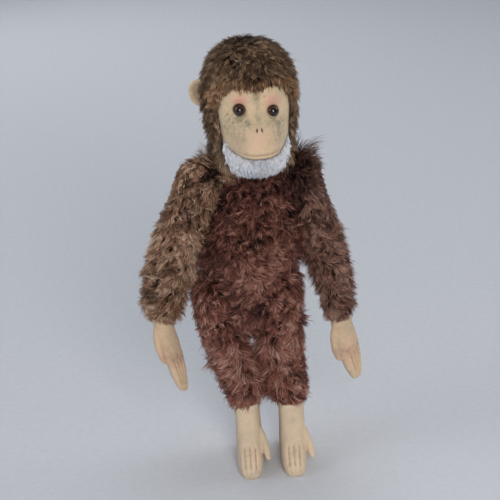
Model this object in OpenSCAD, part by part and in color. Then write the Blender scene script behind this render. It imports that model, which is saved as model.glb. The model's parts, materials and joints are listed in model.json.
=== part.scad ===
// A five-way disc-jointed plush monkey: mohair skins, felt face, hands and feet,
// wood-wool stuffing, and fibreboard discs held by cotter pins.
// It stands on its soles, faces -Y, and its own right side is at -X.

/* [Cloth] */
// Thickness of the mohair cloth without its pile, and of the felt
cloth = 1.2; // [1:0.1:1.4]
// Thickness of the card in each sole
card = 1; // [0.8:0.1:1.2]

/* [Head] */
// How far the head is turned towards +X at rest, in degrees
head_turn = 7; // [0:1:15]
// Radius of each glass eye
eye_r = 3.5; // [3:0.1:4]
// Distance of each eye from the middle of the face
eye_x = 9; // [8:0.25:10]
// How much lower the left eye is set, and how much higher the right one
eye_drop = 1.2; // [0:0.1:1.5]
// Angle of the right ear from the side of the head, in degrees
right_ear_lean = 28; // [20:1:40]
// Angle of the left ear, which is pressed back along the side of the head, in degrees
left_ear_lean = 68; // [40:1:75]

/* [Shoulders] */
// Height of the shoulder pivots above the soles
shoulder_z = 162.5; // [161:0.5:163]
// Distance from the middle plane to the inner face of each arm at its pivot
shoulder_x = 20.5; // [20:0.25:21]
// Lean of the right arm away from the body, in degrees
right_splay = 20; // [16:0.5:22]
// Lean of the left arm away from the body, in degrees
left_splay = 11; // [10:0.5:15]
// How full the right arm is across its breadth
right_fullness = 1.15; // [1:0.05:1.2]
// How full the left arm is across its breadth
left_fullness = 0.8; // [0.8:0.05:1]
// Bend of the right hand away from the line of its arm, in degrees
right_hand_bend = -32; // [-34:1:-10]
// Bend of the left hand away from the line of its arm, in degrees
left_hand_bend = 1; // [-4:1:8]
// Turn of each hand about its arm, which brings the thumb towards -X, in degrees
hand_twist = 50; // [30:5:60]

/* [Hips] */
// Height of the hip pivots above the soles
hip_z = 100; // [99:0.5:101]
// Distance from the middle plane to the inner face of each leg at its pivot
hip_x = 10.5; // [10.25:0.25:11]
// Lean of each hip disc towards the middle, in degrees
hip_lean = 6; // [5:0.5:7]
// How far the hips sag towards -X from the line between the neck and the feet
hip_sag = 8.5; // [6:0.5:9]

/* [Joint hardware] */
// Radius of the fibreboard discs
disc_r = 7.5; // [6.5:0.25:7.5]
// Thickness of the fibreboard discs
disc_t = 2; // [1.5:0.1:2.2]
// Radius of the steel washers
washer_r = 3.8; // [3.2:0.2:4]
// Thickness of the steel washers
washer_t = 0.6; // [0.5:0.1:0.8]
// Radius of each cotter pin's shank
pin_r = 0.9; // [0.8:0.05:1]
// Running clearance between a pin and its discs and washers
pin_play = 0.05; // [0.03:0.01:0.08]
// Gap between the two cloth faces at each joint
joint_gap = 0.5; // [0.4:0.1:0.6]

/* [Hidden] */
$fn = 32;

olive_mohair = [0.29, 0.24, 0.18];
russet_mohair = [0.30, 0.17, 0.13];
skin_felt = [0.78, 0.66, 0.50];
wood_wool = [0.80, 0.68, 0.45];
fibreboard = [0.55, 0.42, 0.28];
steel = [0.70, 0.71, 0.73];
brown_thread = [0.30, 0.20, 0.13];
eye_glass = [0.20, 0.09, 0.04];
white_plush = [0.88, 0.89, 0.92];
sole_card = [0.66, 0.56, 0.40];

stand_at = [5.7, 5];        // sets the middle of the whole toy's plan at the origin
neck_z = 177;               // underside of the head
neck_r = 10;                // radius of the flat faces at the neck
hip_shelf_z = 116;          // the body swells over the thighs above this height
arm_cuff_z = -80;           // where mohair meets felt, below the shoulder pivot
leg_cuff_z = 34;            // where mohair meets felt, above the sole
sides_body = 24;            // facets round the body
sides_head = 28;            // facets round the head
sides_limb = 20;            // facets round an arm or a leg
thread_r = 0.4;
pressed_above_z = 60;       // the legs lie flat against the body above this height
foot_squareness = 3.2;      // 2 is an ellipse, more is a blunter toe and heel
eye_z = 215;
muzzle_spread = 14;         // half the breadth of the muzzle's blunt bulge

// Body sections: height, half width, reach to the front, reach to the back
body_rows = [
    [79, 4, 5, 6], [82, 9, 10, 10], [88, 13, 14.5, 14.5], [96, 15, 19, 18],
    [104, 16, 22, 20], [112, 16, 24, 21.5], [118, 18, 25, 22], [124, 23, 26, 22.5],
    [132, 25, 26, 22.5], [142, 25, 24.5, 21.5], [152, 25, 21.5, 20], [160, 24.5, 18.5, 18],
    [168, 23.5, 16, 16], [173, 19.5, 13.5, 13.5], [neck_z - joint_gap, neck_r, neck_r, neck_r]
];
// Head sections: height, half width, front, back, extra reach of the muzzle
head_rows = [
    [neck_z, neck_r, neck_r, neck_r, 0], [179.5, 14.5, 18, 15, 4], [183, 17.5, 20.5, 19, 8],
    [188, 20, 22, 22.5, 11], [194, 22, 23, 25, 12.5], [201, 23.5, 23.5, 27, 11.5],
    [208, 24.3, 24, 28, 7], [215, 24.5, 24.5, 28.5, 1.5], [222, 24.5, 25, 28.5, 0.5],
    [229, 23.5, 25, 27.5, 0.5], [236, 21, 22.5, 25, 0], [242, 16.5, 17.5, 20, 0],
    [246, 10.5, 11, 13, 0], [248, 4, 4, 5, 0]
];
// Arm sections from the cuff up: height, middle, half thickness, middle in Y, half depth
arm_rows = [
    [arm_cuff_z, 9.5, 6.6, -5, 7.8], [-70, 10.8, 7.8, -4, 9.2], [-58, 12, 9, -2.5, 10.5],
    [-44, 12, 9.8, -1, 11.5], [-28, 11, 10.5, 0, 12.3], [-14, 9.5, 11.5, 0, 12.7],
    [0, 9, 12, 0, 12.7], [6, 9, 11.5, 0, 11.8], [9.5, 9, 10.5, 0, 9.5],
    [12, 8.5, 8.5, 0, 6.5], [13.2, 8, 4.5, 0, 3]
];
// Hand sections up to the cuff: height, half thickness, half breadth, share of the twist
hand_rows = [
    [-118.8, 1.4, 2, 1], [-116.5, 2.8, 3.9, 1], [-111.5, 3.7, 5.4, 1], [-105, 4.3, 6.6, 1],
    [-98, 4.7, 7.4, 1], [-90, 5.2, 7.4, 0.8], [-84, 5.9, 7.5, 0.4]
];
// Leg sections from the cuff up: height, middle, half width, front, back
leg_rows = [
    [leg_cuff_z, 13, 7.6, 10.5, 10], [44, 13.6, 8.4, 11, 11], [56, 14.8, 9, 11.5, 12],
    [70, 16.2, 9.6, 12.5, 13], [84, 17.4, 10, 13.5, 14], [94, 18.2, 10.4, 13.8, 14],
    [100, 18.6, 10.5, 13.5, 13.5], [106, 18.8, 10.2, 12, 12], [110.5, 19, 9, 9, 9],
    [113, 19, 6.5, 5.5, 5.5], [114, 19, 3.5, 2.5, 2.5]
];
// Foot sections up to the cuff: height, middle, half width, front, back
foot_rows = [
    [cloth, 12.6, 7.5, 37.5, 10.5], [3.2, 12.6, 7.9, 38.5, 11], [6, 12.6, 7.9, 38.5, 11.3],
    [10, 12.6, 7.7, 35, 11.3], [15, 12.6, 7.5, 28.5, 11], [20, 12.7, 7.4, 22, 10.5],
    [26, 12.8, 7.4, 15.5, 10]
];

// How far the body and the legs bow sideways at a height
function sway(z) = -hip_sag * lookup(z, [[0, 0], [30, 0], [44, 0.24], [56, 0.5], [70, 0.75], [84, 0.93],
    [94, 0.99], [106, 1], [112, 0.92], [124, 0.66], [142, 0.24], [160, 0]]);
// The same, measured from the hips
function lean(z) = sway(z) - sway(hip_z);

// A power that keeps its sign, which squares an oval up a little
function swell(v, k) = sign(v) * pow(abs(v), 2 / k);

// An oval section with its own reach to the front and back, squarer as k grows
function oval(z, cx, hx, cy, front, back, sides, k = 2.3, twist = 0) =
    [for (i = [0:sides - 1]) let (
        t = 360 * i / sides,
        x = hx * swell(cos(t), k),
        y = swell(sin(t), k) * (sin(t) < 0 ? front : back))
        [cx + x * cos(twist) - y * sin(twist), cy + x * sin(twist) + y * cos(twist), z]];

// Points beyond a plane are pushed back onto it
function pressed(points, at, normal) =
    [for (p = points) p - normal * max(0, (p - at) * normal)];

function middle(points) = [for (p = points) 1] * points / len(points);

// A closed solid through a stack of sections that rise along Z
module loft(rings) {
    n = len(rings[0]);
    m = len(rings);
    points = concat([for (r = rings) each r], [middle(rings[0]), middle(rings[m - 1])]);
    walls = [for (i = [0:m - 2], j = [0:n - 1], half = [0, 1])
        let (a = i * n + j, b = i * n + (j + 1) % n)
        half == 0 ? [a, a + n, b + n] : [a, b + n, b]];
    floor_faces = [for (j = [0:n - 1]) [m * n, j, (j + 1) % n]];
    roof_faces = [for (j = [0:n - 1]) [m * n + 1, (m - 1) * n + (j + 1) % n, (m - 1) * n + j]];
    polyhedron(points, concat(walls, floor_faces, roof_faces), convexity = 6);
}

// The same section again at another height, which opens a shell's end
function moved_to(ring, z) = [for (p = ring) [p.x, p.y, z]];

// A round thread or wire between two points
module rod(from, to, r) {
    v = to - from;
    translate(from)
        rotate([0, acos(v.z / norm(v)), atan2(v.y, v.x)])
            cylinder(r = r, h = norm(v), $fn = 16);
}

// ---- joint hardware, along +X from the joint plane into the limb ----

module at_disc(depth, thick, r) {
    translate([depth, 0, 0]) rotate([0, 90, 0]) cylinder(r = r, h = thick);
}

module disc_with_bore(depth, thick, r) {
    difference() {
        at_disc(depth, thick, r);
        at_disc(depth - 1, thick + 2, pin_r + pin_play);
    }
}

outer_disc_x = cloth;
outer_washer_x = outer_disc_x + disc_t;
outer_end_x = outer_washer_x + washer_t;
inner_disc_x = -joint_gap - cloth - disc_t;
inner_washer_x = inner_disc_x - washer_t;
crown_gap = 0.15;
crown_l = 3;
pin_head_l = 2;
pin_head_r = 1.9;
curl_wire_r = 0.5;

module limb_disc() { color(fibreboard) disc_with_bore(outer_disc_x, disc_t, disc_r); }
module limb_washer() { color(steel) disc_with_bore(outer_washer_x, washer_t, washer_r); }
module body_disc() { color(fibreboard) disc_with_bore(inner_disc_x, disc_t, disc_r); }
module body_washer() { color(steel) disc_with_bore(inner_washer_x, washer_t, washer_r); }

// A cotter pin: a round eye in the limb, a shank, and two legs curled over in the body
module cotter_pin() {
    tail_x = inner_washer_x - crown_gap - curl_wire_r;
    color(steel) {
        at_disc(tail_x - 0.25, outer_end_x - tail_x + 0.25, pin_r);
        difference() {
            translate([outer_end_x, 0, 0]) rotate([0, 90, 0])
                cylinder(r = pin_head_r, h = pin_head_l);
            translate([outer_end_x + pin_head_l / 2, 0, -5]) cylinder(r = 0.5, h = 10);
        }
        for (side = [0, 180])
            rotate([side, 0, 0])
                translate([tail_x, 0, 0]) {
                    rod([0, 0, 0.3], [0, 0, 2.2], curl_wire_r);
                    rod([0, 0, 2], [-1.4, 0, 2.8], curl_wire_r);
                }
    }
}

// The room that the hardware takes out of a limb's stuffing
module limb_pocket() {
    at_disc(0, outer_washer_x, disc_r);
    at_disc(0, outer_end_x, washer_r);
    at_disc(0, outer_end_x + pin_head_l, pin_head_r);
}

// The room that the hardware takes out of the body's stuffing, round for the turning pin
module body_pocket() {
    at_disc(inner_disc_x, 4, disc_r);
    at_disc(inner_washer_x - crown_gap - crown_l, crown_l + 1, washer_r);
}

pin_hole_r = pin_r + 0.4;
module pin_hole() { at_disc(-3, 6, pin_hole_r); }

// ---- where the joints are ----

module at_shoulder(side) {
    splay = side > 0 ? left_splay : right_splay;
    mirror([side > 0 ? 0 : 1, 0, 0])
        translate([shoulder_x, 0, shoulder_z]) rotate([0, -splay, 0]) children();
}

module at_hip(side) {
    translate([sway(hip_z), 0, 0]) mirror([side > 0 ? 0 : 1, 0, 0])
        translate([hip_x, 0, hip_z]) rotate([0, hip_lean, 0]) children();
}

// The neck's hardware stands up: its limb is the head
module at_neck() {
    rotate([0, 0, head_turn]) translate([0, 0, neck_z]) rotate([0, -90, 0]) children();
}

function shoulder_out(side) = let (a = side > 0 ? left_splay : right_splay)
    [side * cos(a), 0, sin(a)];
function hip_out(side) = [side * cos(hip_lean), 0, -sin(hip_lean)];

// ---- body ----

// One body section, pressed flat at the shoulders and between the thighs
function body_ring(row, inset) = let (
    raw = oval(row[0], sway(row[0]), row[1] - inset, 0, row[2] - inset, row[3] - inset, sides_body, 2.4),
    low = row[0] < hip_shelf_z,
    back_off = joint_gap + inset,
    left_n = low ? hip_out(1) : shoulder_out(1),
    right_n = low ? hip_out(-1) : shoulder_out(-1),
    left_at = (low ? [sway(hip_z) + hip_x, 0, hip_z] : [shoulder_x, 0, shoulder_z]) - left_n * back_off,
    right_at = (low ? [sway(hip_z) - hip_x, 0, hip_z] : [-shoulder_x, 0, shoulder_z]) - right_n * back_off)
    pressed(pressed(raw, left_at, left_n), right_at, right_n);

body_last = len(body_rows) - 1;
body_outside = [for (r = body_rows) body_ring(r, 0)];
body_inside = [for (i = [0:body_last])
    let (ring = body_ring(body_rows[i], cloth))
    i == 0 ? moved_to(ring, body_rows[i][0] + cloth)
    : i == body_last ? moved_to(ring, body_rows[i][0] - cloth) : ring];

module body_joints() {
    for (side = [-1, 1]) {
        at_shoulder(side) children();
        at_hip(side) children();
    }
    at_neck() children();
}

module torso_skin() {
    color(russet_mohair) difference() {
        loft(body_outside);
        loft(body_inside);
        body_joints() pin_hole();
    }
}

module torso_stuffing() {
    color(wood_wool) difference() {
        loft(body_inside);
        body_joints() body_pocket();
    }
}

seam_stitches = 8;
seam_from_z = 112;
seam_pitch = 5;
function body_back(z) = lookup(z, [for (r = body_rows) [r[0], r[3]]]);

// The hand-sewn closing seam down the back
module torso_closing_seam() {
    color(brown_thread) for (i = [0:seam_stitches - 1]) {
        z = seam_from_z + i * seam_pitch;
        rod([sway(z) - 1.6, body_back(z), z], [sway(z) + 1.6, body_back(z + 1.5), z + 1.5], thread_r);
    }
}

// ---- head, drawn facing -Y and then turned ----

module turned_head() { rotate([0, 0, head_turn]) children(); }

// Extra reach of the muzzle at a distance from the middle
function muzzle(x, reach) = reach * exp(-pow(x / muzzle_spread, 4));

function head_ring(row, inset) = [for (p = oval(row[0], 0, row[1] - inset, 0,
        row[2] - inset, row[3] - inset, sides_head, 2.2))
    p.y < 0 ? [p.x, p.y - muzzle(p.x, row[4]) * min(1, -3 * p.y / row[2]), p.z] : p];

head_last = len(head_rows) - 1;
head_outside = [for (r = head_rows) head_ring(r, 0)];
head_inside = [for (i = [0:head_last])
    let (ring = head_ring(head_rows[i], cloth))
    i == 0 ? moved_to(ring, head_rows[i][0] + cloth)
    : i == head_last ? moved_to(ring, head_rows[i][0] - cloth) : ring];

function head_at(z, column) = lookup(z, [for (r = head_rows) [r[0], r[column]]]);

// The face's surface at a distance x from the middle and a height z
function face_y(x, z) =
    -head_at(z, 2) * pow(1 - pow(abs(x) / head_at(z, 1), 2.2), 1 / 2.2)
    - muzzle(x, head_at(z, 4));

// Half of the felt face's outline, from the brow's middle down to the mouth
face_half = [[0, 225.5], [4, 227.8], [10, 229], [15.5, 226], [19, 220], [19.8, 213],
    [18.6, 205], [18, 198], [15, 193.5], [10, 191.2], [5, 190.2], [0, 190]];
// Half of the white plush below it
chin_half = [[0, 200], [17.6, 200.5], [18.4, 198], [17.6, 193], [15, 186], [10.5, 180], [5, 177], [0, 176]];

function both_halves(half) = concat(half, [for (i = [len(half) - 2:-1:1]) [-half[i].x, half[i].y]]);

// An outline of the face carried backwards through the front of the head
module from_front(half) {
    translate([0, -6, 0]) rotate([90, 0, 0]) linear_extrude(60) polygon(both_halves(half));
}

module head_shell() {
    difference() {
        loft(head_outside);
        loft(head_inside);
    }
}

module neck_hole() {
    translate([0, 0, neck_z - 2]) cylinder(r = pin_hole_r, h = 5);
}

eye_y = face_y(eye_x, eye_z) + 1.1;
function eye_at(side) = [side * eye_x, eye_y, eye_z - side * eye_drop];
module eye_balls(r) {
    for (side = [-1, 1]) translate(eye_at(side)) sphere(r = r, $fn = 32);
}

module head_skin() {
    color(olive_mohair) turned_head() difference() {
        head_shell();
        from_front(face_half);
        from_front(chin_half);
        neck_hole();
    }
}

module face_mask() {
    color(skin_felt) turned_head() difference() {
        intersection() {
            head_shell();
            from_front(face_half);
        }
        eye_balls(eye_r);
    }
}

module chin_beard() {
    color(white_plush) turned_head() difference() {
        intersection() {
            head_shell();
            from_front(chin_half);
        }
        from_front(face_half);
        neck_hole();
    }
}

module head_stuffing() {
    color(wood_wool) difference() {
        turned_head() difference() {
            loft(head_inside);
            eye_balls(eye_r);
        }
        at_neck() limb_pocket();
    }
}

module eye(side) {
    color(eye_glass) turned_head()
        translate(eye_at(side)) sphere(r = eye_r, $fn = 32);
}

// Each eye's wire shank runs back through the stuffing to a knot at the nape
nape = [0, 24, 205];
module eye_wires() {
    color(steel) turned_head() for (side = [-1, 1]) {
        back = eye_at(side);
        along = nape + [side * 2, 0, 0] - back;
        rod(back + along * (eye_r + 0.02) / norm(along), nape + [side * 2, 0, 0], thread_r);
    }
}

ear_h = 15;
ear_w = 11;
ear_t = 2.4;
ear_y = 4;
ear_z = 219.5;
ear_out = 22.6;
// A rounded felt ear, sewn into a slit in the hood and turned a little forwards
module ear(side) {
    outline = [for (i = [0:23]) let (t = 15 * i)
        [ear_w / 2 * swell(cos(t), 2.3) + ear_w / 2, ear_h / 2 * sin(t) * (1 - 0.12 * cos(t))]];
    color(skin_felt) turned_head() mirror([side > 0 ? 0 : 1, 0, 0])
        translate([ear_out, ear_y, ear_z]) rotate([90, 0, side > 0 ? left_ear_lean : right_ear_lean])
            translate([0, 0, -ear_t / 2]) linear_extrude(ear_t) polygon(outline);
}

nostril_x = 1.2;
nose_top_z = 208;
nose_low_z = 204.5;
module nose_stitches() {
    color(brown_thread) turned_head() for (side = [-1, 1])
        rod([side * nostril_x, face_y(nostril_x, nose_top_z), nose_top_z],
            [side * (nostril_x + 0.6), face_y(nostril_x + 0.6, nose_low_z), nose_low_z], thread_r);
}

mouth_half_w = 12;
mouth_z = 192.5;
mouth_steps = 8;
function mouth_point(i) = let (
    x = mouth_half_w * (2 * i / mouth_steps - 1),
    z = mouth_z + 1.6 * pow(x / mouth_half_w, 2))
    [x, face_y(x, z), z];
module mouth_stitches() {
    color(brown_thread) turned_head() for (i = [0:mouth_steps - 1])
        rod(mouth_point(i), mouth_point(i + 0.8), thread_r);
}

// ---- arms, drawn hanging down from a pivot at the origin, +X away from the body ----

wrist = [9.5, -5];
hand_l = 39;
hand_curl = 0.12;           // how far the hand leads forwards for each unit of its length

function hand_bend(side) = side > 0 ? left_hand_bend : right_hand_bend;
// The right arm is drawn mirrored, so its twist runs the other way
function twist_of(side) = side > 0 ? -hand_twist : hand_twist;
function palm_middle(z, side) = let (down = arm_cuff_z - z)
    [wrist.x * fullness(side) + down * tan(hand_bend(side)), wrist.y - down * hand_curl];

function fullness(side) = side > 0 ? left_fullness : right_fullness;
function arm_ring(row, inset, side) = pressed(
    oval(row[0], row[1] * fullness(side), row[2] * fullness(side) - inset, row[3], row[4] - inset,
        row[4] - inset, sides_limb, 2.4),
    [inset, 0, 0], [-1, 0, 0]);
function hand_ring(row, inset, side) = let (c = palm_middle(row[0], side))
    oval(row[0], c.x, row[1] - inset, c.y, row[2] - inset, row[2] - inset, sides_limb, 2.2,
        twist_of(side) * row[3]);

arm_last = len(arm_rows) - 1;
function arm_outside(side) = [for (r = arm_rows) arm_ring(r, 0, side)];
function arm_inside(side) = [for (i = [0:arm_last]) let (ring = arm_ring(arm_rows[i], cloth, side))
    i == arm_last ? moved_to(ring, arm_rows[i][0] - cloth) : ring];
function hand_outside(side) = [for (r = hand_rows) hand_ring(r, 0, side)];
function hand_inside(side) = [for (i = [1:len(hand_rows) - 1])
    hand_ring(hand_rows[i], cloth, side)];

module arm_skin(side) {
    color(olive_mohair) at_shoulder(side) difference() {
        loft(arm_outside(side));
        loft(concat([moved_to(arm_inside(side)[0], arm_cuff_z - 1)], arm_inside(side)));
        pin_hole();
    }
}

// Thumb sections: height, radius, how far it stands off the hand's edge
thumb_rows = [
    [-104.5, 1, 0], [-103, 2, 0.2], [-98, 2.6, 0], [-92, 2.7, -1], [-87, 2.2, -2.4], [-85, 1.2, -3.2]
];
// A short thumb along the edge of the hand
module thumb(side) {
    loft([for (r = thumb_rows) let (
        c = palm_middle(r[0], side),
        out = lookup(r[0], [for (h = hand_rows) [h[0], h[2]]]) + 1.4 + r[2],
        turn = twist_of(side))
        oval(r[0], c.x + out * sin(turn), r[1], c.y - out * cos(turn), r[1], r[1], 12, 2, turn)]);
}

module hand(side) {
    color(skin_felt) at_shoulder(side) difference() {
        union() {
            loft(concat(hand_outside(side), [arm_outside(side)[0]]));
            thumb(side);
        }
        loft(concat(hand_inside(side), [arm_inside(side)[0], moved_to(arm_inside(side)[0], arm_cuff_z + 1)]));
    }
}

module arm_stuffing(side) {
    color(wood_wool) at_shoulder(side) difference() {
        loft(concat(hand_inside(side), arm_inside(side)));
        limb_pocket();
    }
}

// A point on the flat of the hand: across the breadth, on the palm (-1) or the back (1)
function on_hand(z, across, face, side) = let (
    c = palm_middle(z, side),
    thin = lookup(z, [for (h = hand_rows) [h[0], h[1]]]) * face,
    turn = twist_of(side))
    [c.x + thin * cos(turn) - across * sin(turn), c.y + thin * sin(turn) + across * cos(turn), z];

finger_gap = 2.6;
finger_root_z = -101;
finger_end_z = -114;
module finger_stitches(side) {
    color(brown_thread) at_shoulder(side)
        for (face = [-1, 1], k = [-1, 0, 1])
            rod(on_hand(finger_root_z, k * finger_gap * 1.1, face, side),
                on_hand(finger_end_z, k * finger_gap * 0.6, face, side), thread_r);
}

// ---- legs, drawn in place for +X and mirrored for -X ----

module on_side(side) {
    translate([sway(hip_z), 0, 0]) mirror([side > 0 ? 0 : 1, 0, 0]) children();
}

// One leg section, which follows the bow and is pressed flat against the body near the hip
function leg_ring(row, inset, side) = let (
    raw = oval(row[0], row[1] + side * lean(row[0]), row[2] - inset, 0, row[3] - inset,
        row[4] - inset, sides_limb, 2.4))
    row[0] < pressed_above_z ? raw : pressed(raw, [hip_x, 0, hip_z] + hip_out(1) * inset, -hip_out(1));
function foot_ring(row, inset, side) = oval(row[0], row[1] + side * lean(row[0]), row[2] - inset, 0,
    row[3] - inset, row[4] - inset, sides_limb, foot_squareness);

leg_last = len(leg_rows) - 1;
function leg_outside(side) = [for (r = leg_rows) leg_ring(r, 0, side)];
function leg_inside(side) = [for (i = [0:leg_last]) let (ring = leg_ring(leg_rows[i], cloth, side))
    i == leg_last ? moved_to(ring, leg_rows[i][0] - cloth) : ring];
function foot_outside(side) = [for (r = foot_rows) foot_ring(r, 0, side)];
function sole_inside(side) = foot_ring(foot_rows[0], cloth, side);
function foot_inside(side) = concat([moved_to(sole_inside(side), foot_rows[1][0])],
    [for (i = [2:len(foot_rows) - 1]) foot_ring(foot_rows[i], cloth, side)]);

module leg_skin(side) {
    color(russet_mohair) difference() {
        on_side(side) loft(leg_outside(side));
        on_side(side) loft(concat([moved_to(leg_inside(side)[0], leg_cuff_z - 1)], leg_inside(side)));
        at_hip(side) pin_hole();
    }
}

// Thumb-like toe sections: height, middle in Y, radius, how far it stands off the foot's edge
toe_rows = [[7, -27.5, 0.8, 1.6], [8.2, -26.8, 1.6, 1.4], [11, -24, 2.2, 0.8], [15, -20, 2.4, -0.4],
    [19, -16, 2.1, -1.8], [21.5, -13.5, 1.2, -2.8]];
// The thumb-like toe lies on the +X side of both feet
module thumb_toe(side) {
    out = side > 0 ? 1 : -1;
    for_edge = foot_rows[2][1] + side * lean(0) + out * (foot_rows[2][2] + 0.9);
    loft([for (r = toe_rows) oval(r[0], for_edge + out * r[3], r[2], r[1], r[2] * 1.3, r[2] * 1.3, 12, 2)]);
}

module foot(side) {
    color(skin_felt) on_side(side) difference() {
        union() {
            loft(concat(foot_outside(side), [leg_outside(side)[0]]));
            thumb_toe(side);
        }
        loft(concat([moved_to(sole_inside(side), cloth - 1)], foot_inside(side),
            [leg_inside(side)[0], moved_to(leg_inside(side)[0], leg_cuff_z + 1)]));
    }
}

module flat_outline(ring) { polygon([for (p = ring) [p.x, p.y]]); }

module sole(side) {
    color(skin_felt) on_side(side) linear_extrude(cloth) flat_outline(foot_outside(side)[0]);
}

module insole(side) {
    color(sole_card) on_side(side)
        translate([0, 0, cloth]) linear_extrude(card) flat_outline(sole_inside(side));
}

module leg_stuffing(side) {
    color(wood_wool) difference() {
        on_side(side)
            loft(concat([moved_to(sole_inside(side), cloth + card)], foot_inside(side), leg_inside(side)));
        at_hip(side) limb_pocket();
    }
}

toe_gap = 3.2;
toe_root_z = 11.5;
toe_end_z = 6.5;
function instep(z) = lookup(z, [for (r = foot_rows) [r[0], r[3]]]);
// Three lines of stitching part the four toes
module toe_stitches(side) {
    color(brown_thread) on_side(side) for (k = [-1, 0, 1]) {
        x = foot_rows[2][1] + k * toe_gap;
        fall = pow(1 - pow(abs(k * toe_gap) / foot_rows[2][2], foot_squareness), 1 / foot_squareness);
        rod([x + side * lean(0), -instep(toe_root_z) * fall, toe_root_z],
            [x + side * lean(0), -instep(toe_end_z) * fall, toe_end_z], thread_r);
    }
}

// ---- every piece ----

module placed() { translate([stand_at.x, stand_at.y, 0]) children(); }

placed() torso_skin();
placed() torso_stuffing();
placed() torso_closing_seam();
placed() at_neck() body_disc();  // neck_torso_disc
placed() at_neck() body_washer();  // neck_torso_washer
placed() at_shoulder(1) body_disc();  // left_shoulder_torso_disc
placed() at_shoulder(1) body_washer();  // left_shoulder_torso_washer
placed() at_shoulder(-1) body_disc();  // right_shoulder_torso_disc
placed() at_shoulder(-1) body_washer();  // right_shoulder_torso_washer
placed() at_hip(1) body_disc();  // left_hip_torso_disc
placed() at_hip(1) body_washer();  // left_hip_torso_washer
placed() at_hip(-1) body_disc();  // right_hip_torso_disc
placed() at_hip(-1) body_washer();  // right_hip_torso_washer
placed() head_skin();
placed() head_stuffing();
placed() face_mask();
placed() chin_beard();
placed() ear(1);  // left_ear
placed() ear(-1);  // right_ear
placed() eye(1);  // left_eye
placed() eye(-1);  // right_eye
placed() eye_wires();
placed() nose_stitches();
placed() mouth_stitches();
placed() at_neck() limb_disc();  // neck_head_disc
placed() at_neck() limb_washer();  // neck_head_washer
placed() at_neck() cotter_pin();  // neck_cotter_pin
placed() arm_skin(1);  // left_arm_skin
placed() arm_stuffing(1);  // left_arm_stuffing
placed() hand(1);  // left_hand
placed() finger_stitches(1);  // left_finger_stitches
placed() at_shoulder(1) limb_disc();  // left_shoulder_arm_disc
placed() at_shoulder(1) limb_washer();  // left_shoulder_arm_washer
placed() at_shoulder(1) cotter_pin();  // left_shoulder_cotter_pin
placed() arm_skin(-1);  // right_arm_skin
placed() arm_stuffing(-1);  // right_arm_stuffing
placed() hand(-1);  // right_hand
placed() finger_stitches(-1);  // right_finger_stitches
placed() at_shoulder(-1) limb_disc();  // right_shoulder_arm_disc
placed() at_shoulder(-1) limb_washer();  // right_shoulder_arm_washer
placed() at_shoulder(-1) cotter_pin();  // right_shoulder_cotter_pin
placed() leg_skin(1);  // left_leg_skin
placed() leg_stuffing(1);  // left_leg_stuffing
placed() foot(1);  // left_foot
placed() sole(1);  // left_sole
placed() insole(1);  // left_insole
placed() toe_stitches(1);  // left_toe_stitches
placed() at_hip(1) limb_disc();  // left_hip_leg_disc
placed() at_hip(1) limb_washer();  // left_hip_leg_washer
placed() at_hip(1) cotter_pin();  // left_hip_cotter_pin
placed() leg_skin(-1);  // right_leg_skin
placed() leg_stuffing(-1);  // right_leg_stuffing
placed() foot(-1);  // right_foot
placed() sole(-1);  // right_sole
placed() insole(-1);  // right_insole
placed() toe_stitches(-1);  // right_toe_stitches
placed() at_hip(-1) limb_disc();  // right_hip_leg_disc
placed() at_hip(-1) limb_washer();  // right_hip_leg_washer
placed() at_hip(-1) cotter_pin();  // right_hip_cotter_pin
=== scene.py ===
"""A five-way jointed plush monkey: mohair fur, felt face, hands and feet, glass eyes.

Lengths are in millimetres until a mesh is made. The toy faces -Y and stands on z = 0.
"""
import json
import math

import bpy
import numpy as np
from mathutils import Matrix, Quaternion, Vector
from mathutils.bvhtree import BVHTree
from mathutils.kdtree import KDTree


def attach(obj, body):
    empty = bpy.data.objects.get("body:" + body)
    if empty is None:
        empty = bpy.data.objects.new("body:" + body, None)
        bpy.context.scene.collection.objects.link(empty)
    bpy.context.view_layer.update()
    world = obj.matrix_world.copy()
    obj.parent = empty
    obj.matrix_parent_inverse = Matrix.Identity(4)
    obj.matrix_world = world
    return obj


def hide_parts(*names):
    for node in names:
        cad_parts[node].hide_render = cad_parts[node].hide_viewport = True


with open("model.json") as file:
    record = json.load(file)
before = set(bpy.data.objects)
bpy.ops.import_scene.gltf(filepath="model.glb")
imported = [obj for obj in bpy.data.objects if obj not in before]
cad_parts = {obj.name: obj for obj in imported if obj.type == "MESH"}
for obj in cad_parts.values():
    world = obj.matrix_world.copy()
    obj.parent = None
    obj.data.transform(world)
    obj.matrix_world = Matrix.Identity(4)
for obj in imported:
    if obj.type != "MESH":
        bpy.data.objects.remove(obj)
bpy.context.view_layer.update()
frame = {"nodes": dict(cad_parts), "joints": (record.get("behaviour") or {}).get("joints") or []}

MM = 0.001
JOINTS = {j["name"]: j for j in frame["joints"]}


def pivot(joint):
    """Where a joint turns, in mm."""
    return np.array(JOINTS[joint]["pos_m"], float) / MM


NECK = pivot("neck_swivel")
MIDDLE_X, MIDDLE_Y = NECK[0], NECK[1]


# ---- camera: from the front, a little above, rolled so that the toy leans back to the left ----

def make_camera():
    """The lens is long, so that the toy fills the frame from far off, in flat perspective."""
    distance, elevation, roll = 1100, math.radians(20.7), math.radians(3.7)
    target = Vector((MIDDLE_X - 5.2, 0, 127.9))
    back = Vector((0, -math.cos(elevation), math.sin(elevation)))
    data = bpy.data.cameras.new("camera")
    data.lens = 140.6
    data.sensor_width = 36
    data.clip_start, data.clip_end = 0.02, 20
    camera = bpy.data.objects.new("camera", data)
    bpy.context.scene.collection.objects.link(camera)
    camera.location = (target + back * distance) * MM
    camera.rotation_mode = "QUATERNION"
    camera.rotation_quaternion = (-back).to_track_quat("-Z", "Y") @ Quaternion((0, 0, 1), -roll)
    bpy.context.scene.camera = camera


make_camera()


# ---- small helpers ----

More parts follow.
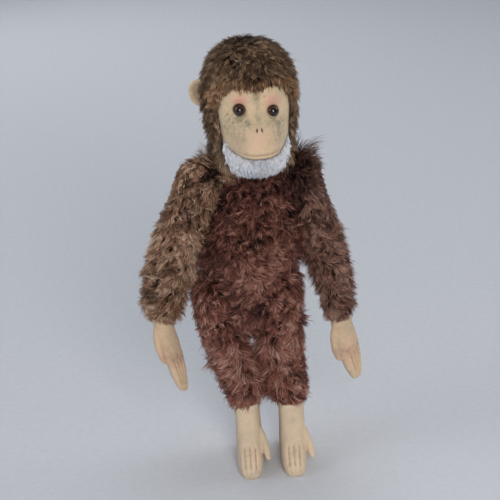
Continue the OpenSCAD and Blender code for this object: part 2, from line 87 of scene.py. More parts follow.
def unit(v):
    """Vectors along the last axis, made one long."""
    return v / np.maximum(np.linalg.norm(v, axis=-1, keepdims=True), 1e-9)


def step(v, low, high):
    """0 below low, 1 above high, smooth between."""
    t = np.clip((v - low) / (high - low), 0, 1)
    return t * t * (3 - 2 * t)


def hump(d, width):
    """1 where d is 0, falling smoothly to nothing a few widths away."""
    return np.exp(-(d / width) ** 2)


def patches(points, size, seed, terms=7):
    """Smooth blotches between about -1 and 1, each a few times as wide as size."""
    rng = np.random.default_rng(seed)
    total = np.zeros(len(points))
    for _ in range(terms):
        way = unit(rng.normal(size=3)) * rng.uniform(0.7, 1.4) / size
        total += np.sin(points @ way + rng.uniform(0, 6.28))
    return total / math.sqrt(terms) / 1.1


def sway(z):
    """How far the hips sag sideways, which carries the lower body and the legs with them."""
    return -8.5 * np.interp(z, [30, 44, 56, 70, 84, 94, 106, 112, 124, 142, 160],
                            [0, 0.24, 0.5, 0.75, 0.93, 0.99, 1, 0.92, 0.66, 0.24, 0])


def link(obj):
    bpy.context.scene.collection.objects.link(obj)
    return obj


def triangle_object(name, points, triangles):
    """An object from arrays of points in mm and of triangles."""
    mesh = bpy.data.meshes.new(name)
    mesh.vertices.add(len(points))
    mesh.vertices.foreach_set("co", (np.asarray(points) * MM).astype(np.float32).ravel())
    mesh.loops.add(triangles.size)
    mesh.loops.foreach_set("vertex_index", triangles.astype(np.int32).ravel())
    mesh.polygons.add(len(triangles))
    mesh.polygons.foreach_set("loop_start", np.arange(0, triangles.size, 3, dtype=np.int32))
    mesh.update(calc_edges=True)
    mesh.polygons.foreach_set("use_smooth", np.full(len(triangles), True))
    return link(bpy.data.objects.new(name, mesh))


def face_object(name, points, faces):
    """An object from points in mm and faces of any number of corners."""
    mesh = bpy.data.meshes.new(name)
    mesh.from_pydata((np.asarray(points) * MM).tolist(), [], faces)
    mesh.validate()
    mesh.polygons.foreach_set("use_smooth", np.full(len(mesh.polygons), True))
    return link(bpy.data.objects.new(name, mesh))


def read(items, key, kind=np.float32, width=3):
    """A field of a mesh's vertices, edges or triangles as an array with a row for each."""
    flat = np.empty(len(items) * width, kind)
    items.foreach_get(key, flat)
    return flat.reshape(-1, width)


def points_of(obj):
    return read(obj.data.vertices, "co").astype(float) / MM


def normals_of(obj):
    return read(obj.data.vertex_normals, "vector").astype(float)


def edges_of(obj):
    return read(obj.data.edges, "vertices", np.int32, 2)


def set_points(obj, points):
    obj.data.vertices.foreach_set("co", (points * MM).astype(np.float32).ravel())
    obj.data.update()


def paint(obj, layer, values):
    """A float for each point of the mesh, which its material reads."""
    found = obj.data.attributes.get(layer) or obj.data.attributes.new(layer, "FLOAT", "POINT")
    found.data.foreach_set("value", np.clip(values, 0, 1).astype(np.float32))


def relaxed(points, edges, passes):
    """Points drawn towards their neighbours, then pushed back so that the form keeps its size."""
    n = len(points)
    share = np.bincount(edges.ravel(), minlength=n)[:, None]
    for i in range(passes * 2):
        pull = -0.53 if i % 2 else 0.5
        total = np.zeros_like(points)
        for a, b in ((0, 1), (1, 0)):
            for axis in range(3):
                total[:, axis] += np.bincount(edges[:, a], points[edges[:, b], axis], n)
        points = points + pull * (total / np.maximum(share, 1) - points)
    return points


def largest_island(points, faces):
    """Only the biggest connected surface, so that hidden pockets go."""
    label = np.arange(len(points))
    flat = np.array([(f[i], f[(i + 1) % len(f)]) for f in faces for i in range(len(f))])
    while True:
        low = np.minimum(label[flat[:, 0]], label[flat[:, 1]])
        new = label.copy()
        np.minimum.at(new, flat[:, 0], low)
        np.minimum.at(new, flat[:, 1], low)
        new = new[new]
        if (new == label).all():
            break
        label = new
    extent = {}
    for island in np.unique(label):
        part = points[label == island]
        extent[island] = (part.max(0) - part.min(0)).prod()
    keep = label == max(extent, key=extent.get)
    order = np.cumsum(keep) - 1
    return points[keep], [tuple(int(order[i]) for i in f) for f in faces if keep[f[0]]]


def remeshed(name, nodes, voxel, passes):
    """One closed skin around several CAD nodes of a body, at an even grain of voxel mm."""
    all_points, all_faces, start = [], [], 0
    for node in nodes:
        source = frame["nodes"][node]
        all_points.append(points_of(source))
        all_faces += [tuple(start + i for i in p.vertices) for p in source.data.polygons]
        start += len(source.data.vertices)
    rough = face_object(name + "_rough", np.vstack(all_points), all_faces)
    maker = rough.modifiers.new("even", "REMESH")
    maker.mode = "VOXEL"
    maker.voxel_size = voxel * MM
    graph = bpy.context.evaluated_depsgraph_get()
    mesh = bpy.data.meshes.new_from_object(rough.evaluated_get(graph))
    bpy.data.objects.remove(rough)
    even = bpy.data.objects.new(name, mesh)
    points, faces = largest_island(points_of(even), [tuple(p.vertices) for p in mesh.polygons])
    bpy.data.objects.remove(even)
    obj = face_object(name, points, faces)
    set_points(obj, relaxed(points, edges_of(obj), passes))
    return obj


def pushed(obj, distance):
    """Moves each point along its normal by its own distance."""
    set_points(obj, points_of(obj) + normals_of(obj) * np.reshape(distance, (-1, 1)))


def two_sided_faces(around, rings):
    """Faces of two stacked discs joined at the rim. Each has a middle point, then rings outwards."""
    faces, back = [], 1 + around * rings
    for k in range(around):
        j = (k + 1) % around
        faces += [(0, 1 + j, 1 + k), (back, back + 1 + k, back + 1 + j)]
        for i in range(rings - 1):
            a, b = 1 + i * around + k, 1 + i * around + j
            faces += [(a, b, b + around, a + around),
                      (back + b, back + a, back + a + around, back + b + around)]
        a, b = 1 + (rings - 1) * around + k, 1 + (rings - 1) * around + j
        faces.append((a, b, back + b, back + a))
    return faces


def spots(u, v, places):
    """Small round marks. Each place is two coordinates and a size."""
    return sum(hump(np.hypot(u - a, v - b), size) for a, b, size in places)


def tube_object(name, paths, radius, sides=8):
    """Closed threads with rounded ends along lists of points."""
    points, faces = [], []
    for path in paths:
        path = np.asarray(path, float)
        along = unit(np.gradient(path, axis=0))
        side = unit(np.cross(along, [0.31, 0.87, 0.38]))
        up = np.cross(along, side)
        first = len(points)
        n = len(path)
        girth = radius * np.sqrt(np.clip(1 - (2 * np.linspace(0.03, 0.97, n) - 1) ** 6, 0.05, 1))
        for i in range(n):
            for k in range(sides):
                t = 2 * math.pi * k / sides
                points.append(path[i] + (side[i] * math.cos(t) + up[i] * math.sin(t)) * girth[i])
        points += [path[0] - along[0] * radius * 0.4, path[-1] + along[-1] * radius * 0.4]
        for i in range(n - 1):
            for k in range(sides):
                a, b = first + i * sides + k, first + i * sides + (k + 1) % sides
                faces.append((a, b, b + sides, a + sides))
        head, tail = first + n * sides, first + n * sides + 1
        for k in range(sides):
            a, b = first + k, first + (k + 1) % sides
            faces.append((b, a, head))
            faces.append((a + (n - 1) * sides, b + (n - 1) * sides, tail))
    return face_object(name, points, faces)


# ---- materials ----

class Paint:
    """A material's node tree, with short calls for adding and joining nodes."""

    def __init__(self, name):
        self.material = bpy.data.materials.new(name)
        self.material.use_nodes = True
        self.tree = self.material.node_tree
        self.shader = self.tree.nodes["Principled BSDF"]

    def node(self, kind, inputs=(), **settings):
        made = self.tree.nodes.new("ShaderNode" + kind)
        for key, value in settings.items():
            setattr(made, key, value)
        for key, value in dict(inputs).items():
            if isinstance(value, bpy.types.NodeSocket):
                self.tree.links.new(value, made.inputs[key])
            else:
                made.inputs[key].default_value = value
        return made

    def place(self):
        return self.node("TexCoord").outputs["Object"]

    def layer(self, name):
        return self.node("Attribute", attribute_name=name).outputs["Fac"]

    def noise(self, size, detail=3.0, place=None, rough=0.55):
        """Noise whose blotches are about size millimetres across."""
        return self.node("TexNoise", {"Vector": place or self.place(), "Scale": 1 / (size * MM),
                                      "Detail": detail, "Roughness": rough}).outputs["Fac"]

    def stretched(self, x, y, z):
        return self.node("Mapping", {"Vector": self.place(), "Scale": (x, y, z)}).outputs["Vector"]

    def ramp(self, factor, stops):
        made = self.node("ValToRGB", {"Fac": factor})
        ramp = made.color_ramp
        while len(ramp.elements) < len(stops):
            ramp.elements.new(0.5)
        for element, (at, colour) in zip(ramp.elements, stops):
            element.position = at
            element.color = (*colour, 1)
        return made.outputs["Color"]

    def level(self, factor, low, high, to_low=0.0, to_high=1.0):
        return self.node("MapRange", {"Value": factor, "From Min": low, "From Max": high,
                                      "To Min": to_low, "To Max": to_high}).outputs["Result"]

    def math(self, what, a, b=0.0):
        return self.node("Math", {0: a, 1: b}, operation=what).outputs["Value"]

    def mix(self, factor, a, b, how="MIX"):
        made = self.node("Mix", data_type="RGBA", blend_type=how)
        for index, value in ((0, factor), (6, a), (7, b)):
            if isinstance(value, bpy.types.NodeSocket):
                self.tree.links.new(value, made.inputs[index])
            else:
                made.inputs[index].default_value = value if index == 0 else (*value, 1)
        return made.outputs[2]

    def bump(self, height, depth, strength=1.0, under=None):
        inputs = {"Height": height, "Distance": depth * MM, "Strength": strength}
        if under is not None:
            inputs["Normal"] = under
        return self.node("Bump", inputs).outputs["Normal"]

    def set(self, **sockets):
        for key, value in sockets.items():
            socket = self.shader.inputs[key.replace("_", " ")]
            if isinstance(value, bpy.types.NodeSocket):
                self.tree.links.new(value, socket)
            else:
                socket.default_value = value
        return self.material


def mohair(name, dark, middle, light, root=0.12, gloss=0.44):
    """Fur strands: each has its own tone, with painted shade darkening its root deep in the pile and
    a painted highlight paling its tip.
    """
    p = Paint(name)
    tone = p.ramp(p.layer("tone"), [(0.0, dark), (0.5, middle), (1.0, light)])
    along = p.layer("along")
    # Painted shade: the root end of each strand is darkened, as though in shadow deep in the pile.
    deep = p.mix(1.0, tone, (root, root * 0.92, root * 0.9), "MULTIPLY")
    colour = p.mix(p.level(along, 0.08, 0.68), deep, tone)
    # Painted highlight: the tip end is paled towards the lightest tone.
    colour = p.mix(p.level(along, 0.7, 1.0, 0.0, 0.25), colour, light)
    return p.set(Base_Color=colour, Roughness=gloss, Specular_IOR_Level=0.3)


def backing(name, colour, pale):
    """The woven ground that the fur grows from, with painted shade darkening the hollows of its
    weave.
    """
    p = Paint(name)
    weave = p.node("TexWave", {"Vector": p.place(), "Scale": 700.0, "Distortion": 1.5},
                   bands_direction="Z").outputs["Fac"]
    cross = p.node("TexWave", {"Vector": p.place(), "Scale": 700.0, "Distortion": 1.5},
                   bands_direction="X").outputs["Fac"]
    height = p.math("MULTIPLY", weave, cross)
    tint = p.mix(p.level(p.noise(5), 0.3, 0.7), colour, pale)
    # Painted shade: the low parts of the weave are darkened towards black.
    tint = p.mix(p.level(height, 0.0, 0.8, 0.35, 0.0), tint, (0.01, 0.006, 0.005))
    return p.set(Base_Color=tint, Roughness=0.9, Normal=p.bump(height, 0.25, 0.7))


def felt(name, warm=(0.66, 0.495, 0.315), cool=(0.55, 0.43, 0.275), pink=(0.66, 0.27, 0.235)):
    """Old wool felt: matted fibres, soft blotches, airbrushed pink, grey-green wear, dirt spots and
    painted shade in grooves and round the eyes.
    """
    p = Paint(name)
    fibres = p.noise(0.35, 6, p.stretched(1, 1, 0.45), 0.7)
    lint = p.noise(0.9, 5, p.stretched(0.5, 1, 1), 0.65)
    colour = p.mix(p.level(p.noise(9, 3), 0.35, 0.68), warm, cool)
    colour = p.mix(p.level(lint, 0.38, 0.72, 0.0, 0.34), colour, (0.80, 0.67, 0.50))
    colour = p.mix(p.level(fibres, 0.28, 0.5, 0.38, 0.0), colour, (0.33, 0.235, 0.145))
    colour = p.mix(p.math("MULTIPLY", p.layer("pink"), p.level(lint, 0.2, 0.7, 1.0, 0.72)),
                   colour, pink)
    worn = p.math("MULTIPLY", p.layer("worn"), p.level(p.noise(2.2, 4), 0.3, 0.62))
    colour = p.mix(worn, colour, (0.235, 0.215, 0.145))
    # One dark colour paints real dirt spots and painted shade in grooves and round the eyes.
    colour = p.mix(p.layer("dirt_and_shade"), colour, (0.055, 0.036, 0.026))
    colour = p.mix(p.layer("edge"), colour, (0.84, 0.72, 0.56))
    pits = p.bump(p.noise(3.2, 2), 0.5, 0.35)
    pits = p.bump(lint, 0.3, 0.55, pits)
    return p.set(Base_Color=colour, Roughness=p.level(fibres, 0.3, 0.7, 0.98, 0.86),
                 Specular_IOR_Level=0.18, Sheen_Weight=0.22, Sheen_Roughness=0.55,
                 Sheen_Tint=(1.0, 0.93, 0.82, 1.0), Normal=p.bump(fibres, 0.16, 0.8, pits))


def thread(name, colour, pale):
    """Twisted cotton thread."""
    p = Paint(name)
    twist = p.node("TexWave", {"Vector": p.place(), "Scale": 900.0, "Distortion": 2.0},
                   bands_direction="DIAGONAL").outputs["Fac"]
    tint = p.mix(twist, colour, pale)
    return p.set(Base_Color=tint, Roughness=0.75, Normal=p.bump(twist, 0.1, 0.8))


def eye_glass(name):
    """Brown glass over a black pupil, with a darker ring at its rim."""
    p = Paint(name)
    ring = p.layer("iris")
    streaks = p.noise(0.6, 4)
    colour = p.ramp(ring, [(0.0, (0.002, 0.002, 0.002)), (0.47, (0.002, 0.0015, 0.0015)),
                           (0.53, (0.040, 0.010, 0.005)), (0.8, (0.060, 0.016, 0.007)),
                           (1.0, (0.006, 0.003, 0.002))])
    colour = p.mix(p.level(streaks, 0.4, 0.75, 0.0, 0.3), colour, (0.02, 0.006, 0.003))
    return p.set(Base_Color=colour, Roughness=p.level(streaks, 0.0, 1.0, 0.05, 0.12),
                 Specular_IOR_Level=0.35, Coat_Weight=0.45, Coat_Roughness=0.02)


def wood_wool(name):
    p = Paint(name)
    shreds = p.noise(0.8, 6, p.stretched(0.3, 1, 1.6), 0.75)
    colour = p.ramp(shreds, [(0.3, (0.30, 0.18, 0.07)), (0.5, (0.62, 0.44, 0.20)),
                             (0.7, (0.80, 0.64, 0.36))])
    return p.set(Base_Color=colour, Roughness=0.85, Normal=p.bump(shreds, 0.5, 0.9))


def fibreboard(name, colour=(0.26, 0.16, 0.09)):
    p = Paint(name)
    flecks = p.noise(0.7, 5, None, 0.7)
    tint = p.mix(p.level(flecks, 0.35, 0.65), colour, tuple(c * 1.7 for c in colour))
    return p.set(Base_Color=tint, Roughness=0.82, Normal=p.bump(flecks, 0.12, 0.6))


def steel(name):
    p = Paint(name)
    scratches = p.noise(0.5, 5, p.stretched(1, 1, 6), 0.7)
    rust = p.level(p.noise(2.5, 4), 0.55, 0.72)
    colour = p.mix(rust, (0.52, 0.52, 0.53), (0.22, 0.10, 0.05))
    return p.set(Base_Color=colour, Metallic=p.level(rust, 0.0, 1.0, 1.0, 0.2),
                 Roughness=p.level(scratches, 0.3, 0.7, 0.28, 0.5),
                 Normal=p.bump(scratches, 0.05, 0.5))


HOOD = mohair("hood_mohair", (0.026, 0.014, 0.008), (0.150, 0.081, 0.044), (0.52, 0.36, 0.22))
BODY = mohair("body_mohair", (0.022, 0.006, 0.005), (0.190, 0.058, 0.041), (0.58, 0.30, 0.22))
LEGS = mohair("leg_mohair", (0.040, 0.011, 0.008), (0.370, 0.125, 0.086), (0.78, 0.50, 0.40))
RIGHT_ARM = mohair("right_arm_mohair", (0.042, 0.019, 0.010), (0.345, 0.170, 0.098),
                   (0.86, 0.62, 0.44))
LEFT_ARM = mohair("left_arm_mohair", (0.024, 0.008, 0.006), (0.150, 0.056, 0.040),
                  (0.54, 0.32, 0.24))
FRINGE = mohair("fringe_mohair", (0.075, 0.030, 0.014), (0.31, 0.150, 0.070), (0.72, 0.47, 0.27))
PLUSH = mohair("chin_plush", (0.50, 0.52, 0.58), (0.82, 0.85, 0.92), (0.94, 0.95, 0.98),
               root=0.72, gloss=0.55)
# Near-black ground colour: painted shade standing in for the darkness deep between the strands.
DARK_GROUND = backing("mohair_ground", (0.022, 0.012, 0.009), (0.045, 0.024, 0.018))
PALE_GROUND = backing("plush_ground", (0.50, 0.52, 0.58), (0.66, 0.68, 0.74))
SKIN = felt("skin_felt")
EYE = eye_glass("eye_glass")
DARK_THREAD = thread("nose_thread", (0.035, 0.02, 0.014), (0.10, 0.06, 0.04))
LIP_THREAD = thread("lip_thread", (0.33, 0.22, 0.135), (0.50, 0.36, 0.23))
FINGER_THREAD = thread("finger_thread", (0.40, 0.28, 0.17), (0.56, 0.42, 0.27))
SEAM_THREAD = thread("seam_thread", (0.06, 0.035, 0.022), (0.14, 0.09, 0.06))
HIDDEN = {"stuffing": wood_wool("wood_wool"), "disc": fibreboard("fibreboard"),
          "insole": fibreboard("sole_card", (0.36, 0.27, 0.16)), "washer": steel("washer_steel"),
          "pin": steel("pin_steel"), "wires": steel("shank_wire"), "seam": SEAM_THREAD}

for node_name, node_object in frame["nodes"].items():
    finish = next((m for key, m in HIDDEN.items() if node_name.endswith(key)), SKIN)
    node_object.data.materials.clear()
    node_object.data.materials.append(finish)


def dress(obj, body, material, replaces=()):
    """Gives a piece its material, its body and the CAD nodes it stands for."""
    obj.data.materials.clear()
    obj.data.materials.append(material)
    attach(obj, body)
    if replaces:
        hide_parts(*replaces)
    return obj


# ---- fur ----

class Ground:
    """A cloth surface that fur grows on."""

    def __init__(self, obj):
        mesh = obj.data
        mesh.calc_loop_triangles()
        self.triangles = read(mesh.loop_triangles, "vertices", np.int32)
        self.points = points_of(obj)
        self.normals = normals_of(obj)
        corners = self.points[self.triangles]
        self.area = np.linalg.norm(np.cross(corners[:, 1] - corners[:, 0],
                                            corners[:, 2] - corners[:, 0]), axis=1) / 2
        self.tree = BVHTree.FromPolygons(self.points.tolist(), self.triangles.tolist())

    def roots(self, rng, count, keep):
        """Points spread evenly over the part of the surface that keep() allows."""
        found, normals, total = [], [], 0
        chance = self.area / self.area.sum()
        for _ in range(12):
            pick = rng.choice(len(self.area), count, p=chance)
            a, b = rng.random(count), rng.random(count)
            over = a + b > 1
            a[over], b[over] = 1 - a[over], 1 - b[over]
            share = np.stack([1 - a - b, a, b], 1)[:, :, None]
            points = (self.points[self.triangles[pick]] * share).sum(1)
            normal = unit((self.normals[self.triangles[pick]] * share).sum(1))
            chosen = rng.random(count) < keep(points, normal)
            found.append(points[chosen])
            normals.append(normal[chosen])
            total += chosen.sum()
            if total >= count:
                break
        return np.vstack(found)[:count], np.vstack(normals)[:count]

    def nearest(self, points):
        """The nearest places on the cloth, and the way out from it there."""
        at, index = np.empty_like(points), np.empty(len(points), int)
        find = self.tree.find_nearest
        for i, p in enumerate(points.tolist()):
            hit = find(p)
            at[i], index[i] = hit[0], hit[2]
        return at, unit(self.normals[self.triangles[index]].mean(1))


ALONG = np.array([0.0, 0.34, 0.68, 1.0])  # where a strand's four points lie, root to tip
GIRTH = np.array([0.75, 1.0, 0.72])  # its width at the first three, which are rings of three
STRAND_POINTS = 10
LAP = np.array([(0, 1, 4), (0, 4, 3), (1, 2, 5), (1, 5, 4), (2, 0, 3), (2, 3, 5)])
STRAND = np.vstack([LAP, LAP + 3, [(6, 7, 9), (7, 8, 9), (8, 6, 9), (0, 2, 1)]])
DOWN = np.array([0.0, 0.0, -1.0])
# Usual values: strands in a lock, how far they gather towards its leader, the shares of stray and of
# pale strands (painted highlight streaks), half a strand's width in mm, how closely it follows the
# cloth, its wave in mm.
GROOM = {"per_lock": 8, "gather": 0.55, "strays": 0.02, "width": 0.2, "pale": 0.09, "hug": 0.85,
         "wave": 0.7}


def curl(rng, ground, roots, normals, groom):
    """Each strand's four points. Strands gather into locks, and each lock waves its own way."""
    n = len(roots)
    locks = max(2, n // groom["per_lock"])
    leader = rng.choice(n, locks, replace=False)
    tree = KDTree(locks)
    for i, p in enumerate(roots[leader].tolist()):
        tree.insert(p, i)
    tree.balance()
    owner = np.array([tree.find(p)[1] for p in roots.tolist()])

    flow = groom["flow"](roots)
    flow = unit(flow - normals * (flow * normals).sum(1, keepdims=True))
    side = np.cross(normals, flow)
    turn = rng.normal(0, 1, locks)[owner] * groom["tousle"] + rng.normal(0, 0.2, n)
    turn += groom["swirl"] * patches(roots, 7, groom["seed"])
    way = flow * np.cos(turn)[:, None] + side * np.sin(turn)[:, None]
    across = np.cross(normals, way)
    length = groom["length"](roots) * rng.uniform(0.75, 1.2, locks)[owner] * rng.uniform(0.7, 1.1, n)
    stray = rng.random(n) < groom["strays"]
    rise = groom["rise"](roots) * rng.uniform(0.55, 1.5, locks)[owner] * rng.uniform(0.6, 1.3, n)
    rise = np.where(stray, rise * 1.35, rise)
    phase = rng.uniform(0, 6.28, locks)[owner] + rng.normal(0, 0.35, n)
    wave = groom["wave"] * rng.uniform(0.4, 1.4, locks)[owner]
    gather = np.where(stray, 0.0, groom["gather"])

    rows = [roots]
    for t in ALONG[1:]:
        reach = length * (t - 0.1 * t * t)
        lift = rise * (1.45 * t - 0.45 * t * t)
        weave = wave * t * np.sin(phase + 6.0 * t)
        point = roots + way * reach[:, None] + across * weave[:, None]
        leader_point = point[leader][owner]
        share = (gather * t ** 1.1)[:, None]
        point = point + (leader_point - point) * share
        at, out = ground.nearest(point)
        high = 0.15 + lift + 0.35 * wave * t * np.cos(phase + 5.0 * t)
        hugging = at + out * np.maximum(high, 0.12)[:, None]
        free = point + normals * high[:, None]
        rows.append(hugging * groom["hug"] + free * (1 - groom["hug"]))
    return np.stack(rows, 1), owner, locks


def grow(name, ground, body, material, count, groom, replaces=()):
    """A fur piece: closed, tapered, gently flattened strands."""
    groom = {**GROOM, **groom}
    rng = np.random.default_rng(groom["seed"])
    roots, normals = ground.roots(rng, count, groom["keep"])
    lines, owner, locks = curl(rng, ground, roots, normals, groom)
    n = len(roots)
    along = unit(np.gradient(lines, axis=1))
    side = unit(np.cross(along, normals[:, None, :]))
    up = np.cross(side, along)
    width = groom["width"] * rng.uniform(0.7, 1.3, n)
    half = width[:, None, None] * GIRTH[None, :, None]
    base = lines[:, :3]
    left = base - side[:, :3] * half
    right = base + side[:, :3] * half
    ridge = base + up[:, :3] * half * 0.8
    rings = np.stack([left, right, ridge], 2).reshape(n, 9, 3)
    points = np.concatenate([rings, lines[:, 3:4]], 1)
    triangles = (STRAND[None] + STRAND_POINTS * np.arange(n)[:, None, None]).reshape(-1, 3)
    obj = triangle_object(name, points.reshape(-1, 3), triangles)

    lock_tone = rng.normal(0, 0.20, locks)[owner]
    # Painted highlight: a share of strands is made paler, standing in for bright streaks of light on
    # the pile.
    pale = np.where(rng.random(n) < groom["pale"], rng.uniform(0.12, 0.45, n), 0)
    tone = groom["tone"](roots, normals) + lock_tone + rng.normal(0, 0.10, n) + pale
    tone = np.clip(tone, 0.01, 0.99)
    place = np.concatenate([np.repeat(ALONG[:3], 3), [1.0]])
    paint(obj, "tone", np.repeat(tone, STRAND_POINTS))
    paint(obj, "along", np.tile(place, n))
    # One map for all strands: tone across it and root to tip up it, so few pixels hold them all.
    sheet = obj.data.uv_layers.new(name="OFBake")
    jitter = np.tile(np.array([-0.0022, 0.0022, 0.0] * 3 + [0.0]), n)
    u = 0.01 + 0.98 * np.repeat(tone, STRAND_POINTS) + jitter
    v = 0.01 + 0.98 * np.tile(place, n)
    corner = triangles.ravel()
    sheet.data.foreach_set("uv", np.stack([u[corner], v[corner]], 1).astype(np.float32).ravel())
    return dress(obj, body, material, replaces)


# ---- body ----

def across_body(p):
    """How far points lie to the side of the sagging body's own middle."""
    return p[:, 0] - MIDDLE_X - sway(p[:, 2])


def belly_line(x):
    """The height of the fold under the belly, which turns up at both sides."""
    return 99 + 0.045 * x * x


def crease(p):
    """1 in the fold under the belly, 0 away from it."""
    near = hump(p[:, 2] - belly_line(across_body(p)), 4.5)
    return near * (p[:, 1] < MIDDLE_Y) * (p[:, 2] < 130)


def waist_sides(p):
    """1 at the sides of the waist, where the pile fills out the narrow cloth."""
    return step(np.abs(across_body(p)), 14, 22) * hump(p[:, 2] - 124, 17)


def clear_of_joints(p):
    """0 where a limb's disc rubs, 1 away from it."""
    room = np.ones(len(p))
    for word, side in (("left", 1), ("right", -1)):
        joint = pivot(word + "_shoulder")
        near = np.hypot(p[:, 1] - joint[1], p[:, 2] - joint[2])
        facing = step(side * (p[:, 0] - MIDDLE_X), 12, 17)
        room = np.minimum(room, 1 - facing * (1 - step(near, 11, 17)))
        joint = pivot(word + "_hip")
        near = np.hypot(p[:, 1] - joint[1], p[:, 2] - joint[2])
        facing = step(side * across_body(p), 4, 9)
        room = np.minimum(room, 1 - facing * (1 - step(near, 13, 19)))
    return room * (1 - 0.75 * step(p[:, 2], 168, 175))


def torso_tone_and_shade(p, n):
    """Random tone, with painted shade darker in the crease, under the arms, at the neck and at the
    sides; paler on the belly.
    """
    x, z = across_body(p), p[:, 2]
    value = 0.42 + 0.13 * patches(p, 6, 3) + 0.14 * patches(p, 2.6, 4)
    value -= 0.34 * crease(p)
    value -= 0.20 * hump(np.abs(x) - 17, 6) * hump(z - 158, 12) * (n[:, 1] < 0)
    value -= 0.24 * step(z, 158, 171)
    value -= 0.16 * step(np.abs(x), 15, 22) * step(z, 108, 120)
    return value + 0.10 * hump(z - 128, 14) * hump(x, 14)


def make_torso():
    cloth = remeshed("torso_cloth", ["torso_skin", "torso_stuffing"], 1.1, 6)
    p = points_of(cloth)
    front = step(MIDDLE_Y - p[:, 1], 4, 16)
    fold = 2.3 * hump(p[:, 2] - belly_line(across_body(p)), 3.0) * front
    fold -= 0.9 * hump(p[:, 2] - 122, 12) * front
    pushed(cloth, -0.6 - fold)
    dress(cloth, "torso", DARK_GROUND, ["torso_skin", "torso_stuffing"])
    ground = Ground(cloth)
    for part, side, low, high, seed in (("chest", -1, 128, 200, 11), ("belly", -1, 0, 128, 13),
                                        ("back", 1, 0, 200, 12)):
        grow("torso_fur_" + part, ground, "torso", BODY, 12000, {
            "seed": seed,
            "keep": lambda p, n, side=side, low=low, high=high:
                (side * (p[:, 1] - MIDDLE_Y) > 0) * (p[:, 2] >= low) * (p[:, 2] < high),
            "flow": lambda p: DOWN + 0.25 * unit(p * [1, 0, 0] - [MIDDLE_X, 0, 0]),
            "tousle": 0.85, "swirl": 0.9,
            "length": lambda p: 3.0 + 4.2 * clear_of_joints(p) + 3.0 * waist_sides(p),
            "rise": lambda p: 0.5 + 2.9 * clear_of_joints(p) + 3.0 * waist_sides(p) - 1.3 * crease(p),
            "tone": torso_tone_and_shade, "wave": 1.0}, ["torso_skin"])


# ---- head, shaped facing -Y and then turned about the neck ----

HEAD_TURN = math.radians(7)
EYE_X, EYE_Z, EYE_R, EYE_DROP = 9.0, 215.0, 3.5, 1.2
# height, half width, reach of the front, extra reach of the muzzle
HEAD_ROWS = np.array([
    [177, 10, 10, 0], [179.5, 14.5, 18, 4], [183, 17.5, 20.5, 8], [188, 20, 22, 11],
    [194, 22, 23, 12.5], [201, 23.5, 23.5, 11.5], [208, 24.3, 24, 7], [215, 24.5, 24.5, 1.5],
    [222, 24.5, 25, 0.5], [229, 23.5, 25, 0.5], [236, 21, 22.5, 0], [242, 16.5, 17.5, 0],
    [246, 10.5, 11, 0], [248, 4, 4, 0]])
LEVELS = np.arange(177, 248.01, 0.25)


def eased(column):
    """A column of the head's sections as a smooth curve over LEVELS."""
    raw = np.interp(LEVELS, HEAD_ROWS[:, 0], HEAD_ROWS[:, column])
    bell = np.exp(-np.linspace(-2.5, 2.5, 31) ** 2)
    return np.convolve(np.pad(raw, 15, "edge"), bell / bell.sum(), "valid")


HEAD_CURVES = [None, eased(1), eased(2), eased(3)]


def head_at(z, column):
    """A column of HEAD_ROWS at any height."""
    return np.interp(z, LEVELS, HEAD_CURVES[column])


def front_y(x, z):
    """The plain front of the head, in its own frame."""
    edge = np.minimum(np.abs(x) / head_at(z, 1), 0.985)
    return -head_at(z, 2) * (1 - edge ** 2.2) ** (1 / 2.2) \
        - head_at(z, 3) * np.exp(-(x / 14) ** 4)


def to_head(p):
    """Points of the row frame in the head's own frame."""
    c, s = math.cos(HEAD_TURN), math.sin(HEAD_TURN)
    x, y = p[..., 0] - MIDDLE_X, p[..., 1] - MIDDLE_Y
    return np.stack([x * c + y * s, y * c - x * s, p[..., 2]], -1)


def from_head(p):
    """Points of the head's own frame in the row frame."""
    c, s = math.cos(HEAD_TURN), math.sin(HEAD_TURN)
    p = np.asarray(p, float)
    x, y = p[..., 0], p[..., 1]
    return np.stack([x * c - y * s + MIDDLE_X, y * c + x * s + MIDDLE_Y, p[..., 2]], -1)


FACE_HALF = [(0, 225.5), (4, 227.8), (10, 229), (15.5, 226), (19, 220), (19.8, 213),
             (18.6, 205), (18, 198), (15, 193.5), (10, 191.2), (5, 190.2), (0, 190)]
CHIN_HALF = [(0, 200), (17.6, 200.5), (18.4, 198), (17.6, 193), (15, 186), (10.5, 180), (5, 177),
             (0, 176)]
FACE_MIDDLE, CHIN_MIDDLE = (0.0, 208.0), (0.0, 190.0)


def outline(half):
    """The whole outline whose +X half is given from the top down."""
    return np.array(list(half) + [(-x, z) for x, z in half[-2:0:-1]], float)


def rim_radius(half, middle, angles):
    """How far an outline lies from its middle in each direction, rounded a little."""
    ring = outline(half) - middle
    dense = np.vstack([ring + (np.roll(ring, -1, 0) - ring) * t for t in np.linspace(0, 0.95, 20)])
    turn = np.arctan2(dense[:, 1], dense[:, 0])
    order = np.argsort(turn)
    turn, reach = turn[order], np.hypot(dense[order, 0], dense[order, 1])
    table = np.interp(np.linspace(-math.pi, math.pi, 721),
                      np.r_[turn - 2 * math.pi, turn, turn + 2 * math.pi], np.tile(reach, 3))
    bell = np.exp(-np.linspace(-2, 2, 25) ** 2)
    table = np.convolve(np.pad(table[:-1], 12, "wrap"), bell / bell.sum(), "valid")
    wrapped = (angles + math.pi) % (2 * math.pi)
    return np.interp(wrapped, np.arange(720) * math.pi / 360, table, period=2 * math.pi)


def outside(points, half=FACE_HALF, middle=FACE_MIDDLE):
    """How far each head-frame point is outside an outline seen from the front, in mm."""
    dx, dz = points[:, 0] - middle[0], points[:, 2] - middle[1]
    return np.hypot(dx, dz) - rim_radius(half, middle, np.arctan2(dz, dx))


